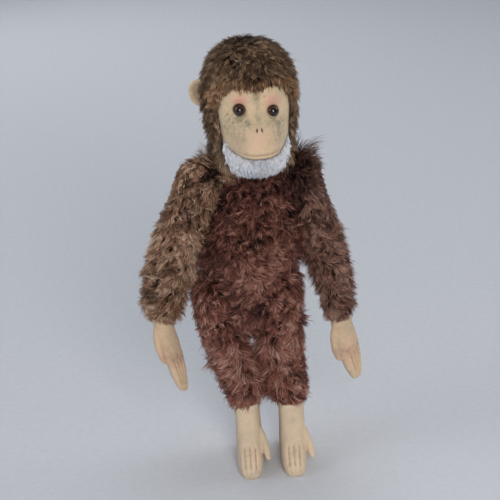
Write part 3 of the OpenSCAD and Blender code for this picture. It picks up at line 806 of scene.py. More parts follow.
def outside_both(q):
    """How far each point is outside the face and the chin."""
    return np.minimum(outside(q), outside(q, CHIN_HALF, CHIN_MIDDLE))


def levelled(x, z):
    """Heights measured from the eye line, which slopes down to +X."""
    return z + EYE_DROP * np.clip(x / EYE_X, -1, 1) * step(z, 200, 210)


def mouth_line(x):
    """The height of the stitched mouth."""
    return 192.6 + 1.5 * (x / 12) ** 2


def relief(x, z):
    """How far the felt stands out from the plain front of the head."""
    ax = np.abs(x)
    z = levelled(x, z)
    out = 1.0 * hump(ax - 9.2, 5.2) * hump(z - 221.8, 2.6)
    out -= 1.6 * hump(ax - EYE_X, 4.6) * hump(z - EYE_Z, 4.4)
    out += 0.8 * hump(x, 2.5) * hump(z - 212, 6.5)
    out += 1.1 * hump(x, 3.0) * hump(z - 206.2, 2.5)
    out -= 0.6 * hump(ax - 1.35 - 0.1 * (208 - z), 0.45) * hump(z - 206.2, 1.2)
    on_mouth = 1 - step(ax, 9, 13)
    off = z - mouth_line(x)
    out -= 0.7 * hump(off, 0.7) * on_mouth
    out += 0.55 * hump(off - 2.3, 1.6) * on_mouth
    out += 0.3 * hump(off + 1.4, 0.9) * on_mouth
    out -= 0.7 * hump(ax - 14.5, 3.5) * hump(z - 205, 5)
    out -= 0.35 * hump(x - 0.25, 0.5) * step(z, 211, 215)
    out -= 0.25 * hump(ax - 11 - 0.25 * (z - 205), 0.6) * hump(z - 204, 4)
    return out


def felt_face_object():
    """The moulded felt, thin, with its rim turned in."""
    turns = np.linspace(-math.pi, math.pi, 241)[:-1]
    rim = rim_radius(FACE_HALF, FACE_MIDDLE, turns)
    shares = np.linspace(0, 1, 72)[1:]
    x = np.r_[0.0, (shares[:, None] * rim * np.cos(turns)).ravel()] + FACE_MIDDLE[0]
    z = np.r_[0.0, (shares[:, None] * rim * np.sin(turns)).ravel()] + FACE_MIDDLE[1]
    share = np.r_[0.0, np.repeat(shares, len(turns))]
    flat = np.stack([x, 0 * x, z], 1)
    y = front_y(x, z) - relief(x, z) - 0.25 - 0.12 * patches(flat, 2.2, 21)
    y += 1.0 * step(share, 0.94, 1.0)
    front = np.stack([x, y, z], 1)
    points = np.vstack([front, front + [0, 1.15, 0]])
    faces = two_sided_faces(len(turns), len(shares))
    return face_object("face_felt", from_head(points), faces), points


def make_face():
    face, points = felt_face_object()
    x, z = points[:, 0], levelled(points[:, 0], points[:, 2])
    ax = np.abs(x)
    flat = np.stack([x, 0 * x, z], 1)
    pink = 0.95 * hump(x + 8.6, 3.8) * hump(z - 220.4, 3.1)
    pink += 0.72 * hump(x - 8.8, 4.2) * hump(z - 220.6, 3.8)
    pink += 0.22 * hump(x, 12) * hump(z - 199, 7) + 0.16 * hump(x, 3) * hump(z - 205, 3)
    worn = 0.95 * hump(x - 0.4, 2.0) * step(z, 206, 212)
    worn += 0.95 * hump(z - 209.8 + 0.03 * (ax - 9) ** 2, 2.4) * hump(ax - 8.5, 6.5)
    worn += 0.95 * hump(x - 12, 5) * hump(z - 203, 7)
    worn += 1.1 * hump(x + 13, 5.5) * hump(z - 206, 7)
    worn += 0.3 * step(share_of(points), 0.86, 1.0)
    worn *= 0.72 + 0.4 * patches(flat, 1.6, 33)
    # Painted shade: a dark ring round each eye, and darker lines along the nostril grooves and the
    # mouth groove. The spots below are real dirt.
    dirt_and_shade = 0.5 * hump(np.hypot(ax - EYE_X, z - EYE_Z) - 3.4, 0.4)
    dirt_and_shade += 0.5 * hump(ax - 1.35 - 0.1 * (208 - z), 0.4) * hump(z - 206.2, 1.2)
    dirt_and_shade += 0.22 * hump(z - mouth_line(x), 0.5) * (1 - step(ax, 8, 12))
    dirt_and_shade += 0.7 * spots(x, z, ((-15.3, 212.3, 0.6), (-14.4, 209.9, 0.45), (-12.8, 208.2, 0.5),
                               (-16.4, 211.0, 0.35), (14.2, 208.5, 0.5), (4.6, 223.4, 0.4)))
    paint(face, "pink", pink)
    paint(face, "worn", worn + 0.07)
    paint(face, "dirt_and_shade", dirt_and_shade)
    paint(face, "edge", 0.3 * step(share_of(points), 0.95, 1.0))
    dress(face, "head", SKIN, ["face_mask"])


def share_of(points):
    """0 in the middle of the face and 1 at its rim."""
    dx, dz = points[:, 0] - FACE_MIDDLE[0], points[:, 2] - FACE_MIDDLE[1]
    return np.hypot(dx, dz) / rim_radius(FACE_HALF, FACE_MIDDLE, np.arctan2(dz, dx))


def make_eye(side, name):
    """A glass ball with a slight cornea, its pupil facing forwards."""
    middle = np.array([side * EYE_X, front_y(EYE_X, EYE_Z) + 1.1, EYE_Z - side * EYE_DROP])
    gaze = unit(np.array([side * 0.10, -1.0, -0.02]))
    right = unit(np.cross(gaze, [0, 0, 1]))
    up = np.cross(right, gaze)
    rows, around = 48, 72
    points, iris = [middle + gaze * EYE_R * 1.05], [0.0]
    for i in range(1, rows):
        a = math.pi * i / rows
        radius = EYE_R * (1 + 0.05 * math.exp(-(a / 0.7) ** 2))
        for k in range(around):
            t = 2 * math.pi * k / around
            points.append(middle + radius * (gaze * math.cos(a) + math.sin(a)
                                             * (right * math.cos(t) + up * math.sin(t))))
            iris.append(min(1.0, math.sin(a) if a < 1.57 else 1.0))
    points.append(middle - gaze * EYE_R)
    iris.append(1.0)
    faces, last = [], len(points) - 1
    for k in range(around):
        j = (k + 1) % around
        faces += [(0, 1 + j, 1 + k), (last, last - around + k, last - around + j)]
        for i in range(rows - 2):
            a, b = 1 + i * around + k, 1 + i * around + j
            faces.append((a, b, b + around, a + around))
    eye = face_object(name, from_head(np.array(points)), faces)
    paint(eye, "iris", np.array(iris))
    dress(eye, "head", EYE, [name.replace("_glass", "")])


EAR_LEAN = {1: 68, -1: 28}  # the left ear is pressed back along the head
EAR_ROOT = np.array([22.6, 4, 219.5])


def make_ear(side, name):
    """A cupped felt ear with a rolled rim."""
    wide, tall = 11.0, 15.0
    turns = np.linspace(0, 2 * math.pi, 73)[:-1]
    shares = np.linspace(0, 1, 22)[1:]
    power = 2 / 2.3
    rim_x = wide / 2 * np.sign(np.cos(turns)) * np.abs(np.cos(turns)) ** power
    rim_z = tall / 2 * np.sin(turns) * (1 - 0.12 * np.cos(turns))

    def sheet(offset, shrink):
        x = np.r_[0.0, (shares[:, None] * rim_x * shrink).ravel()]
        z = np.r_[0.0, (shares[:, None] * rim_z * shrink).ravel()]
        share = np.r_[0.0, np.repeat(shares, len(turns))]
        cup = 1.9 * np.exp(-(share / 0.62) ** 2) - 0.9 * hump(share - 0.86, 0.13)
        cup += 0.5 * hump(z + 1, 2.2) * step(x, -5, -1)
        return np.stack([x, cup + offset, z], 1)

    points = np.vstack([sheet(-0.75, 1.0), sheet(0.75, 0.97)]) + [wide / 2, 0, 0]
    faces = two_sided_faces(len(turns), len(shares))
    lean = math.radians(EAR_LEAN[side])
    c, s = math.cos(lean), math.sin(lean)
    turned = np.stack([points[:, 0] * c - points[:, 1] * s, points[:, 0] * s + points[:, 1] * c,
                       points[:, 2]], 1) + EAR_ROOT
    turned[:, 0] *= side
    if side < 0:
        faces = [f[::-1] for f in faces]
    ear = face_object(name, from_head(turned), faces)
    share = np.tile(np.r_[0.0, np.repeat(shares, len(turns))], 2)
    paint(ear, "worn", 0.55 * (1 - share) + 0.15)
    paint(ear, "edge", 0.35 * step(share, 0.85, 1.0))
    paint(ear, "pink", 0.3 * (1 - share))
    paint(ear, "dirt_and_shade", 0.35 * hump(share - 0.55, 0.12))
    dress(ear, "head", SKIN, [name.replace("_felt", "")])


def on_face(x, z, lift=0.0):
    """Points on the felt, in the head's own frame."""
    x, z = np.asarray(x, float), np.asarray(z, float)
    return np.stack([x, front_y(x, z) - relief(x, z) - 0.25 - lift, z + 0 * x], -1)


def make_face_stitches():
    nostrils = []
    for side in (-1, 1):
        for k in range(3):
            z = np.linspace(207.4 - 0.2 * k, 205.1 + 0.3 * k, 9)
            x = side * (1.15 + 0.12 * (208 - z) + 0.26 * (k - 1))
            arch = 0.28 * np.sin(np.linspace(0, math.pi, 9)) - 0.12
            nostrils.append(from_head(on_face(x, z, arch)))
    dress(tube_object("nose_thread", nostrils, 0.14), "head", DARK_THREAD,
          ["nose_stitches"])
    lips, x = [], -12.0
    while x < 11.6:
        xs = np.linspace(x, x + 1.9, 8)
        arch = 0.24 * np.sin(np.linspace(0, math.pi, 8)) - 0.1
        lips.append(from_head(on_face(xs, mouth_line(xs), arch)))
        x += 2.15
    dress(tube_object("mouth_thread", lips, 0.15), "head", LIP_THREAD,
          ["mouth_stitches"])


def by_face(q):
    """1 at the face's edge, 0 a centimetre away from it."""
    return (1 - step(outside_both(q), 1, 9)) * (q[:, 1] < -4)


def jaw(q, top):
    """1 on the hair beside the jaw, fading out up to top."""
    return (1 - step(q[:, 2], top - 12, top)) * step(np.abs(q[:, 0]), 9, 14)


def hood_keep(p, n):
    """The hood leaves out the face and the chin, and thins under the chin."""
    q = to_head(p)
    return ((q[:, 1] > -6) | (outside_both(q) > 0.1)) * (1 - 0.9 * (q[:, 2] < 178.5))


def hood_flow(p):
    """Down everywhere, forwards on the crown, and in towards the face beside it."""
    q = to_head(p)
    out = unit(np.stack([q[:, 0], q[:, 1] * 0.6, 0 * q[:, 0]], 1))
    brow = by_face(q) * step(q[:, 2], 222, 228)
    inward = by_face(q) * (1 - brow) * (1 - step(q[:, 2], 215, 228))
    way = np.tile(DOWN, (len(p), 1)) + out * (0.35 * (1 - brow) * (1 - inward))[:, None]
    way[:, 0] -= 0.4 * inward * np.sign(q[:, 0])
    way += step(q[:, 2], 236, 246)[:, None] * [0.12, -0.9, 0]
    return from_head(way) - from_head(np.zeros(3))


def hood_length(p):
    q = to_head(p)
    brow = by_face(q) * step(q[:, 2], 221, 227)
    return 6.6 - 2.6 * brow - 0.8 * by_face(q) + 2.6 * jaw(q, 196)


def hood_rise(p):
    q = to_head(p)
    return 2.9 - 1.0 * by_face(q) - 0.9 * step(q[:, 2], 240, 247) + 3.2 * jaw(q, 198)


def hood_tone(p, n):
    """Darker on the crown, paler beside the cheeks and in one worn patch."""
    q = to_head(p)
    value = 0.40 + 0.11 * patches(p, 6, 5) + 0.12 * patches(p, 2.4, 6)
    value -= 0.12 * step(q[:, 2], 232, 244)
    value += 0.22 * by_face(q) * (1 - step(q[:, 2], 205, 222))
    return value + 0.10 * hump(q[:, 2] - 236, 9) * hump(q[:, 0] + 8, 9) * (q[:, 1] < 0)


def fringe_keep(p, n):
    """A narrow band along the brow."""
    q = to_head(p)
    off = outside(q)
    return (off > 0.6) * (off < 5.5) * (q[:, 1] < -6) * step(q[:, 2], 214, 222)


def fringe_length(p):
    q = to_head(p)
    return 5.2 + 2.0 * hump(q[:, 0] + 0.6, 2.0) * (q[:, 2] < 230)


def make_hood():
    """The head's cloth, its olive mohair and the tan fringe."""
    cloth = remeshed("head_cloth", ["head_skin", "head_stuffing", "face_mask", "chin_beard"], 1.1, 6)
    q = to_head(points_of(cloth))
    in_face = (q[:, 1] < -6) & (outside(q) < 0.3)
    pushed(cloth, np.where(in_face, -2.6, -0.7))
    dress(cloth, "head", DARK_GROUND, ["head_skin", "head_stuffing"])
    ground = Ground(cloth)
    for part, side, seed in (("front", -1, 21), ("back", 1, 22)):
        grow("head_fur_" + part, ground, "head", HOOD, 12400, {
            "seed": seed,
            "keep": lambda p, n, side=side: hood_keep(p, n) * (side * (p[:, 1] - MIDDLE_Y) > 0),
            "flow": hood_flow, "tousle": 0.4, "swirl": 0.5, "length": hood_length,
            "rise": hood_rise, "tone": hood_tone, "per_lock": 7, "gather": 0.5}, ["head_skin"])
    grow("brow_fringe", ground, "head", FRINGE, 3000, {
        "seed": 27, "keep": fringe_keep, "flow": lambda p: np.tile(DOWN, (len(p), 1)),
        "tousle": 0.35, "swirl": 0.35, "length": fringe_length,
        "rise": lambda p: np.full(len(p), 3.0), "tone": lambda p, n: 0.5 + 0.2 * patches(p, 2, 7),
        "wave": 0.4, "per_lock": 5, "width": 0.17})


def chin_keep(p, n):
    """The front and the sides of the chin, below the felt and thinner along its lowest edge."""
    q, m = to_head(p), to_head(p + n) - to_head(p)
    outer = (m[:, 0] * q[:, 0] + m[:, 1] * q[:, 1] + m[:, 2] * (q[:, 2] - 196) * 0.8) > 0
    inside = outside(q, CHIN_HALF, CHIN_MIDDLE) < -0.6
    return outer * inside * (outside(q) > -0.8) * (q[:, 1] < -5) \
        * (0.35 + 0.65 * step(q[:, 2], 178, 181))


def chin_flow(p):
    q = to_head(p)
    way = np.stack([-0.05 * q[:, 0] / 14, -0.15 + 0 * q[:, 0], -1 + 0 * q[:, 0]], 1)
    return from_head(way) - from_head(np.zeros(3))


def chin_length(p):
    """Longer at the lower edge, where it hangs in points."""
    q = to_head(p)
    return 4.6 + 2.6 * hump(q[:, 2] - 179, 6) * (0.55 + 0.6 * np.sin(q[:, 0] * 0.9 + 1) ** 2)


def make_chin():
    plush = remeshed("chin_cloth", ["chin_beard"], 0.6, 4)
    pushed(plush, 0.05)
    dress(plush, "head", PALE_GROUND, ["chin_beard"])
    grow("chin_fur", Ground(plush), "head", PLUSH, 7600, {
        "seed": 31, "keep": chin_keep, "flow": chin_flow, "tousle": 0.3, "swirl": 0.3,
        "length": chin_length, "rise": lambda p: 1.5 + 0.9 * step(outside(to_head(p)), 0, 4),
        "tone": lambda p, n: 0.62 + 0.15 * patches(p, 2.5, 9), "wave": 0.35, "width": 0.17,
        "hug": 0.7}, ["chin_beard"])


def make_head():
    make_hood()
    make_chin()
    make_face()
    make_face_stitches()
    for side, word in ((1, "left"), (-1, "right")):
        make_eye(side, word + "_eye_glass")
        make_ear(side, word + "_ear_felt")


# ---- arms and hands ----

class Limb:
    """A limb's own frame: across from the body, forwards-back, and up along the limb."""

    def __init__(self, joint, side):
        axis = np.array(JOINTS[joint]["axis"], float)
        self.origin = pivot(joint)
        self.out = unit(axis * (-1 if side > 0 else 1))
        self.up = unit(np.array([-self.out[2] * side, 0, self.out[0] * side]))

    def local(self, p):
        """Points of the row frame in the limb's frame."""
        d = p - self.origin
        return np.stack([d @ self.out, d[:, 1], d @ self.up], 1)

    def vectors(self, v):
        """Directions of the limb's frame in the row frame."""
        return v[:, :1] * self.out + v[:, 1:2] * np.array([0.0, 1.0, 0.0]) + v[:, 2:3] * self.up

    def world(self, q):
        """Points of the limb's frame in the row frame."""
        return self.vectors(q) + self.origin


CUFF = -80.0
# height, half thickness, half breadth
HAND_ROWS = np.array([[-118.8, 1.4, 2], [-116.5, 2.8, 3.9], [-111.5, 3.7, 5.4], [-105, 4.3, 6.6],
                      [-98, 4.7, 7.4], [-90, 5.2, 7.4], [-84, 5.9, 7.5], [CUFF, 6.6, 7.8]])
HAND_BEND = {1: 1, -1: -32}
FULLNESS = {1: 0.8, -1: 1.15}
HAND_TWIST = math.radians(50)


def palm_middle(z, side):
    """Where the bent hand's middle lies at a height, in the limb's frame."""
    down = CUFF - z
    return 9.5 * FULLNESS[side] + down * math.tan(math.radians(HAND_BEND[side])), -5 - down * 0.12


def on_palm(q, side):
    """A point's place across the hand's breadth and through its thickness."""
    middle_x, middle_y = palm_middle(q[:, 2], side)
    x, y, turn = q[:, 0] - middle_x, q[:, 1] - middle_y, -side * HAND_TWIST
    return -x * math.sin(turn) + y * math.cos(turn), x * math.cos(turn) + y * math.sin(turn)


def from_palm(across, through, z, side):
    x, y = palm_middle(z, side)
    turn = -side * HAND_TWIST
    return np.stack([x + through * math.cos(turn) - across * math.sin(turn),
                     y + through * math.sin(turn) + across * math.cos(turn), z], -1)


def groove_at(k, z):
    """Where the k-th groove between fingers lies across the hand. They draw in to the tips."""
    return k * 2.6 * np.interp(z, [-118, -101], [0.42, 1.12])


def arm_open_side(q):
    """0 on the flat side that faces the body near the joint, 1 elsewhere."""
    near_disc = 1 - step(np.hypot(q[:, 1], q[:, 2]), 12, 20)
    return 1 - (1 - step(q[:, 0], 1.5, 5)) * (0.3 + 0.7 * near_disc)


def arm_crown(q):
    """1 on the tuft at the top of the shoulder."""
    return step(q[:, 2], 2, 11) * hump(q[:, 0] - 5, 6)


def arm_sleek(q):
    """1 on the outer side of the shoulder, where the pile lies flat."""
    return step(q[:, 2], -32, -4) * step(q[:, 0], 9, 15)


def arm_waist(q):
    """1 on the inner side beside the waist, where the pile fills the gap."""
    return (1 - step(q[:, 0], 2, 6)) * hump(q[:, 2] + 40, 17)


def make_arm_pile(limb, side, word, material, shift):
    """An arm's cloth and the mohair on it, down to the cuff."""
    cloth = remeshed(word + "_arm_cloth",
                     [word + "_arm_skin", word + "_arm_stuffing", word + "_hand"], 1.0, 6)
    q = limb.local(points_of(cloth))
    pushed(cloth, np.where(q[:, 2] > CUFF + 1.5, -0.6, -1.9))
    body = word + "_arm"
    dress(cloth, body, DARK_GROUND, [word + "_arm_skin", word + "_arm_stuffing"])
    ground = Ground(cloth)

    def length(p):
        q = limb.local(p)
        return 4.0 + 4.2 * arm_open_side(q) * step(q[:, 2], CUFF, CUFF + 9) \
            + 3.0 * arm_crown(q) - 2.0 * arm_sleek(q) + 2.0 * arm_waist(q)

    def rise(p):
        q = limb.local(p)
        return 0.7 + 3.2 * arm_open_side(q) * (0.35 + 0.65 * step(q[:, 2], CUFF, CUFF + 8)) \
            + 6.5 * arm_crown(q) - 2.3 * arm_sleek(q) + 2.5 * arm_waist(q)

    def tone(p, n):
        """Paler down the arm, darker on the shoulder."""
        q = limb.local(p)
        value = 0.39 + shift + 0.13 * patches(p, 6, 40 + side) + 0.13 * patches(p, 2.6, 44 + side)
        value += 0.12 * hump(q[:, 2] + 45, 26) + 0.06 * step(-q[:, 2], 60, 78)
        return value - 0.13 * step(q[:, 2], -12, 6)

    for part, way, seed in (("front", -1, 41), ("back", 1, 45)):
        grow(word + "_arm_fur_" + part, ground, body, material, 9500, {
            "seed": seed + side,
            "keep": lambda p, n, way=way: (limb.local(p)[:, 2] > CUFF + 0.4)
                * (way * limb.local(p)[:, 1] > 0),
            "flow": lambda p: limb.vectors(np.tile([0.12, -0.05, -1.0], (len(p), 1))),
            "tousle": 0.55, "swirl": 0.6, "length": length, "rise": rise, "tone": tone,
            "wave": 0.9, "pale": 0.14}, [word + "_arm_skin"])


def make_hand(limb, side, word):
    """A felt mitten whose fingers are plump between stitched grooves."""
    hand = remeshed(word + "_hand_felt", [word + "_hand"], 0.5, 14)
    p, n = points_of(hand), normals_of(hand)
    q = limb.local(p)
    across, through = on_palm(q, side)
    z = q[:, 2]
    m = limb.local(p + n) - q
    turn = -side * HAND_TWIST
    facing = (m[:, 0] * math.cos(turn) + m[:, 1] * math.sin(turn)) * np.sign(through)
    deep = sum(0.75 * hump(across - groove_at(k, z), 0.5) for k in (-1, 0, 1))
    deep *= step(-z, 98.5, 102.5) * (facing > 0.1)
    deep += 0.35 * hump(z + 99.5, 1.2) * (facing > 0.4) * hump(across, 5)
    plump = sum(0.3 * hump(across - groove_at(k, z), 0.9) for k in (-1.5, -0.5, 0.5, 1.5))
    plump *= step(-z, 100, 104) * (facing > 0.1)
    pushed(hand, plump - deep + 0.12 * patches(p, 1.6, 50 + side) * (facing > 0))
    dirt_and_shade = 0.6 * spots(across, z, ((-4.3, -100.5, 0.8), (-1.2, -102.4, 0.7), (2.2, -101, 0.7),
                                   (-2.6, -105, 0.5), (0.6, -98.2, 0.5), (4.6, -99.6, 0.6)))
    # Painted shade: darker in the finger grooves. The spots above are real dirt.
    dirt_and_shade += 0.35 * np.clip(deep, 0, 1)
    paint(hand, "dirt_and_shade", dirt_and_shade * (0.55 + 0.45 * patches(p, 0.9, 61)))
    paint(hand, "worn", 0.14 + 0.22 * patches(p, 3, 62) + 0.2 * hump(z + 101, 3))
    paint(hand, "pink", 0.28 * hump(z + 101, 5) + 0.14)
    paint(hand, "edge", 0.25 * step(-z, 114, 119))
    dress(hand, word + "_arm", SKIN, [word + "_hand"])


def make_finger_threads(limb, side, word):
    """Three rows of stitches on each face of the hand."""
    threads = []
    for face in (-1, 1):
        for k in (-1, 0, 1):
            top = -101.5
            while top > -113:
                z = np.linspace(top, top - 1.9, 7)
                a = groove_at(k, z)
                thick = np.interp(z, HAND_ROWS[:, 0], HAND_ROWS[:, 1])
                broad = np.interp(z, HAND_ROWS[:, 0], HAND_ROWS[:, 2])
                round_off = (1 - np.minimum(np.abs(a) / broad, 0.98) ** 2.2) ** (1 / 2.2)
                arch = 0.22 * np.sin(np.linspace(0, math.pi, 7))
                through = face * (thick * round_off - 0.62 + arch)
                threads.append(limb.world(from_palm(a, through, z, side)))
                top -= 2.4
    dress(tube_object(word + "_finger_thread", threads, 0.16, 6), word + "_arm",
          FINGER_THREAD, [word + "_finger_stitches"])


def make_arm(side, word, material, shift):
    limb = Limb(word + "_shoulder", side)
    make_arm_pile(limb, side, word, material, shift)
    make_hand(limb, side, word)
    make_finger_threads(limb, side, word)


# ---- legs and feet ----

LEG_CUFF = 34.0
FOOT_X = 12.6
TOE_GAP = 3.2
# height, reach of the foot's front
FOOT_ROWS = np.array([[1.2, 37.5], [3.2, 38.5], [6, 38.5], [10, 35], [15, 28.5], [20, 22],
                      [26, 15.5], [LEG_CUFF, 10.5]])


def leg_local(p, side):
    """Outwards from the sagging body's middle, forwards-back, and up."""
    return np.stack([side * across_body(p), p[:, 1] - MIDDLE_Y, p[:, 2]], 1)


def leg_open_side(q, hip_z):
    """Low where the leg rubs on the body's disc, middling between the legs, 1 elsewhere."""
    near = np.hypot(q[:, 1], q[:, 2] - hip_z)
    inner = 1 - step(q[:, 0], 10.5, 13.5)
    return 1 - np.maximum(inner * (1 - step(near, 14, 21)), inner * 0.45)


def between_legs(q):
    return (1 - step(q[:, 0], 11, 16)) * (1 - step(q[:, 2], 77, 84)) * step(q[:, 2], 36, 46)


def leg_tufts(q, side):
    """Locks that stand out from the outline, one on each leg."""
    at = 62 if side < 0 else 84
    return hump(q[:, 2] - at, 3.0) * step(q[:, 0], 20, 23) * hump(q[:, 1] + 1, 5)


def leg_cloth_object(side, word):
    """The leg's cloth, which runs on inside the felt foot, narrower there."""
    cloth = remeshed(word + "_leg_cloth", [word + "_leg_skin", word + "_leg_stuffing", word + "_foot",
                                           word + "_sole"], 1.0, 6)
    q = leg_local(points_of(cloth), side)
    knee = 0.8 * hump(q[:, 2] - 62, 3.5) * (q[:, 1] > 0) + 0.6 * hump(q[:, 2] - 60, 4)
    pushed(cloth, np.where(q[:, 2] > LEG_CUFF + 1.5, -0.6 - knee, -1.1))
    p = points_of(cloth)
    narrow = 1 - 0.45 * step(LEG_CUFF - p[:, 2], 3, 9)
    middle = side * FOOT_X + MIDDLE_X
    p[:, 0] = middle + (p[:, 0] - middle) * narrow
    p[:, 1] = MIDDLE_Y + (p[:, 1] - MIDDLE_Y) * narrow
    p[:, 2] = np.maximum(p[:, 2], 1.2)
    set_points(cloth, p)
    return cloth


def make_leg_pile(side, word, shift):
    """A leg's cloth and the mohair on it, down to the cuff."""
    body = word + "_leg"
    hip_z = pivot(word + "_hip")[2]
    cloth = leg_cloth_object(side, word)
    dress(cloth, body, DARK_GROUND, [word + "_leg_skin", word + "_leg_stuffing"])
    ground = Ground(cloth)

    def length(p):
        q = leg_local(p, side)
        return 6.2 + 1.8 * leg_open_side(q, hip_z) * step(q[:, 2], LEG_CUFF, LEG_CUFF + 9) \
            + 2 * leg_tufts(q, side) + 3.5 * between_legs(q)

    def rise(p):
        q = leg_local(p, side)
        grown = 0.5 + 0.5 * step(q[:, 2], LEG_CUFF, LEG_CUFF + 8)
        return 0.7 + 2.6 * leg_open_side(q, hip_z) * grown + 4.0 * leg_tufts(q, side) \
            + 4.5 * between_legs(q)

    def tone(p, n):
        """Painted shade darkens the fur between the legs and up by the belly; paler at the ankle."""
        q = leg_local(p, side)
        value = 0.42 + shift + 0.13 * patches(p, 6, 70 + side) + 0.14 * patches(p, 2.6, 74 + side)
        value -= 0.22 * (1 - step(q[:, 0], 5, 9)) + 0.14 * step(q[:, 2], 100, 110)
        return value - 0.3 * leg_tufts(q, side) + 0.05 * step(-q[:, 2], -55, -38)

    for part, way, seed in (("front", -1, 71), ("back", 1, 75)):
        grow(word + "_leg_fur_" + part, ground, body, LEGS, 9000, {
            "seed": seed + side,
            "keep": lambda p, n, way=way: (p[:, 2] > LEG_CUFF + 0.4)
                * (way * (p[:, 1] - MIDDLE_Y) > 0),
            "flow": lambda p: np.tile([side * 0.1, -0.05, -1.0], (len(p), 1)),
            "tousle": 0.75, "swirl": 0.8, "length": length, "rise": rise, "tone": tone,
            "wave": 0.95, "pale": 0.12}, [word + "_leg_skin"])


def make_foot(side, word):
    """A felt foot with plump toes, a seam above the sole and a flat underside."""
    foot = remeshed(word + "_foot_felt", [word + "_foot", word + "_sole"], 0.55, 14)
    p, n = points_of(foot), normals_of(foot)
    q = leg_local(p, side)
    m = leg_local(p + n, side) - q
    x, y, z = q[:, 0] - FOOT_X, q[:, 1], q[:, 2]
    outer = ((m[:, 2] > 0.15) | (m[:, 1] < -0.3)) & (m[:, 2] > -0.4)
    toes = step(-y, 24.5, 28.5) * step(z, 1.8, 3.2) * outer
    deep = sum(0.85 * hump(x - TOE_GAP * k, 0.5) for k in (-1, 0, 1)) * toes
    plump = sum(0.35 * hump(x - TOE_GAP * k, 1.1) for k in (-1.5, -0.5, 0.5, 1.5)) * toes
    seam = 0.32 * hump(z - 1.7, 0.55) * (np.abs(m[:, 2]) < 0.7) * (np.abs(x) < 12) * (z > 0)
    moved = plump - deep + seam + 0.14 * patches(p, 2.0, 80 + side) * outer
    pushed(foot, moved * step(z, 0.2, 1.2))
    rested = points_of(foot)
    rested[:, 2] = np.maximum(rested[:, 2], 0.0)
    set_points(foot, rested)
    marks = spots(x * side, y, ((-1.4, -31.5, 0.8), (0.8, -30.6, 0.7), (2.6, -33, 0.6),
                                (-3, -36, 0.7), (1.0, -15.5, 0.6), (-3.4, -14.2, 0.5),
                                (-4.8, -37.2, 0.8), (4.6, -37, 0.7)))
    # Painted shade: darker in the toe grooves. The marks are real dirt; a line just above the sole is
    # darker too.
    dirt_and_shade = 0.2 * np.clip(deep, 0, 1) + 0.5 * marks * (z > 2) + 0.25 * hump(z - 1.2, 0.5)
    paint(foot, "dirt_and_shade", dirt_and_shade * (0.5 + 0.5 * patches(p, 0.9, 81)))
    paint(foot, "worn", 0.05 + 0.16 * patches(p, 3, 82) + 0.2 * hump(z - 1, 1.5))
    paint(foot, "pink", 0.10 + 0.12 * hump(y + 30, 5))
    paint(foot, "edge", 0.33 + 0.4 * step(z, LEG_CUFF - 3.5, LEG_CUFF - 0.5))
    dress(foot, word + "_leg", SKIN, [word + "_foot", word + "_sole"])


def make_toe_threads(side, word):
    """Three rows of stitches over the front of the foot."""
    threads = []
    rows = FOOT_ROWS[:0:-1]
    for k in (-1, 0, 1):
        for start in np.arange(27.5, 36.0, 2.5):
            ys = np.linspace(start, min(start + 2.0, 37.2), 7)
            fall = (1 - np.abs(TOE_GAP * k / 7.9) ** 3.2) ** (1 / 3.2)
            zs = np.interp(ys / fall, rows[:, 1], rows[:, 0])
            arch = 0.2 * np.sin(np.linspace(0, math.pi, 7)) - 0.62
            xs = np.full(7, FOOT_X + TOE_GAP * k)
            threads.append(np.stack([side * xs + MIDDLE_X, MIDDLE_Y - ys, zs + arch], 1))
    dress(tube_object(word + "_toe_thread", threads, 0.17, 6), word + "_leg",
          FINGER_THREAD, [word + "_toe_stitches"])


def make_leg(side, word, shift):
    make_leg_pile(side, word, shift)
    make_foot(side, word)
    make_toe_threads(side, word)


# ---- stage and light ----

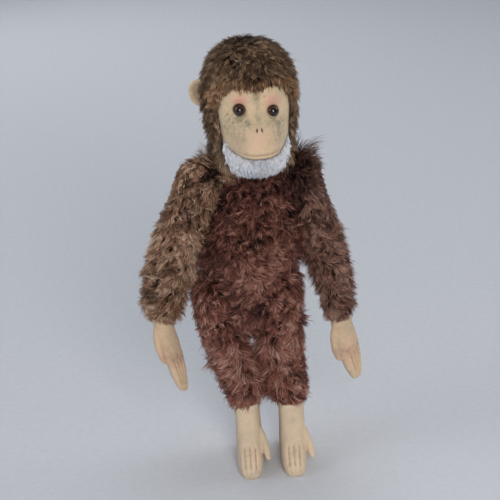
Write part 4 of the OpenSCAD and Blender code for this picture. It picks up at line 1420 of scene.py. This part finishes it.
def make_stage():
    """A pale bowl: flat round the toy, and curving up far away on every side."""
    rings = [(0.0, 0.0), (0.3, 0.0), (0.9, 0.0), (1.4, 0.0)]
    rings += [(1.4 + 0.9 * math.sin(a), 0.9 - 0.9 * math.cos(a)) for a in np.linspace(0.12, 1.57, 14)]
    rings += [(2.3, 1.8), (2.3, 3.0)]
    around = 96
    points = [(0, 0, 0)]
    for radius, height in rings[1:]:
        points += [(radius * math.cos(2 * math.pi * k / around),
                    radius * math.sin(2 * math.pi * k / around), height) for k in range(around)]
    faces = []
    for k in range(around):
        j = (k + 1) % around
        faces.append((0, 1 + k, 1 + j))
        for i in range(len(rings) - 2):
            a, b = 1 + i * around + k, 1 + i * around + j
            faces.append((a, a + around, b + around, b))
    floor = face_object("backdrop", np.array(points) * 1000, faces)
    p = Paint("pale_paper")
    grain = p.noise(4, 4)
    tint = p.mix(p.level(grain, 0.3, 0.7), (0.60, 0.62, 0.66), (0.64, 0.66, 0.70))
    floor.data.materials.append(p.set(Base_Color=tint, Roughness=0.95, Specular_IOR_Level=0.1,
                                      Normal=p.bump(grain, 0.05, 0.3)))


def area_light(name, place, aim, size, power, colour=(1, 1, 1)):
    """A round soft lamp, placed and aimed in metres."""
    data = bpy.data.lights.new(name, "AREA")
    data.shape = "DISK"
    data.size = size
    data.energy = power
    data.color = colour
    lamp = link(bpy.data.objects.new(name, data))
    lamp.location = place
    lamp.rotation_mode = "QUATERNION"
    lamp.rotation_quaternion = (Vector(aim) - Vector(place)).to_track_quat("-Z", "Y")


def make_lights():
    world = bpy.data.worlds.new("studio")
    world.use_nodes = True
    world.node_tree.nodes["Background"].inputs["Color"].default_value = (0.93, 0.96, 1.0, 1)
    world.node_tree.nodes["Background"].inputs["Strength"].default_value = 0.24
    bpy.context.scene.world = world
    area_light("key", (0.16, -1.0, 0.5), (0, 0, 0.11), 0.4, 7.0, (1.0, 0.97, 0.93))
    area_light("fill_left", (-1.1, -0.3, 0.75), (0, 0, 0.12), 0.9, 3.4, (0.93, 0.96, 1.0))
    area_light("fill_right", (1.1, 0.35, 0.8), (0, 0, 0.12), 0.9, 3.0, (0.95, 0.97, 1.0))
    area_light("top", (0.1, 0.35, 1.35), (0, 0, 0.15), 1.0, 3.8)
    area_light("rear", (-0.3, 1.1, 0.6), (0, 0, 0.12), 0.8, 2.8, (0.97, 0.98, 1.0))


make_torso()
make_head()
make_arm(1, "left", LEFT_ARM, 0.0)
make_arm(-1, "right", RIGHT_ARM, 0.05)
make_leg(1, "left", -0.02)
make_leg(-1, "right", 0.03)
make_stage()
make_lights()
bpy.context.scene.view_settings.view_transform = "Standard"
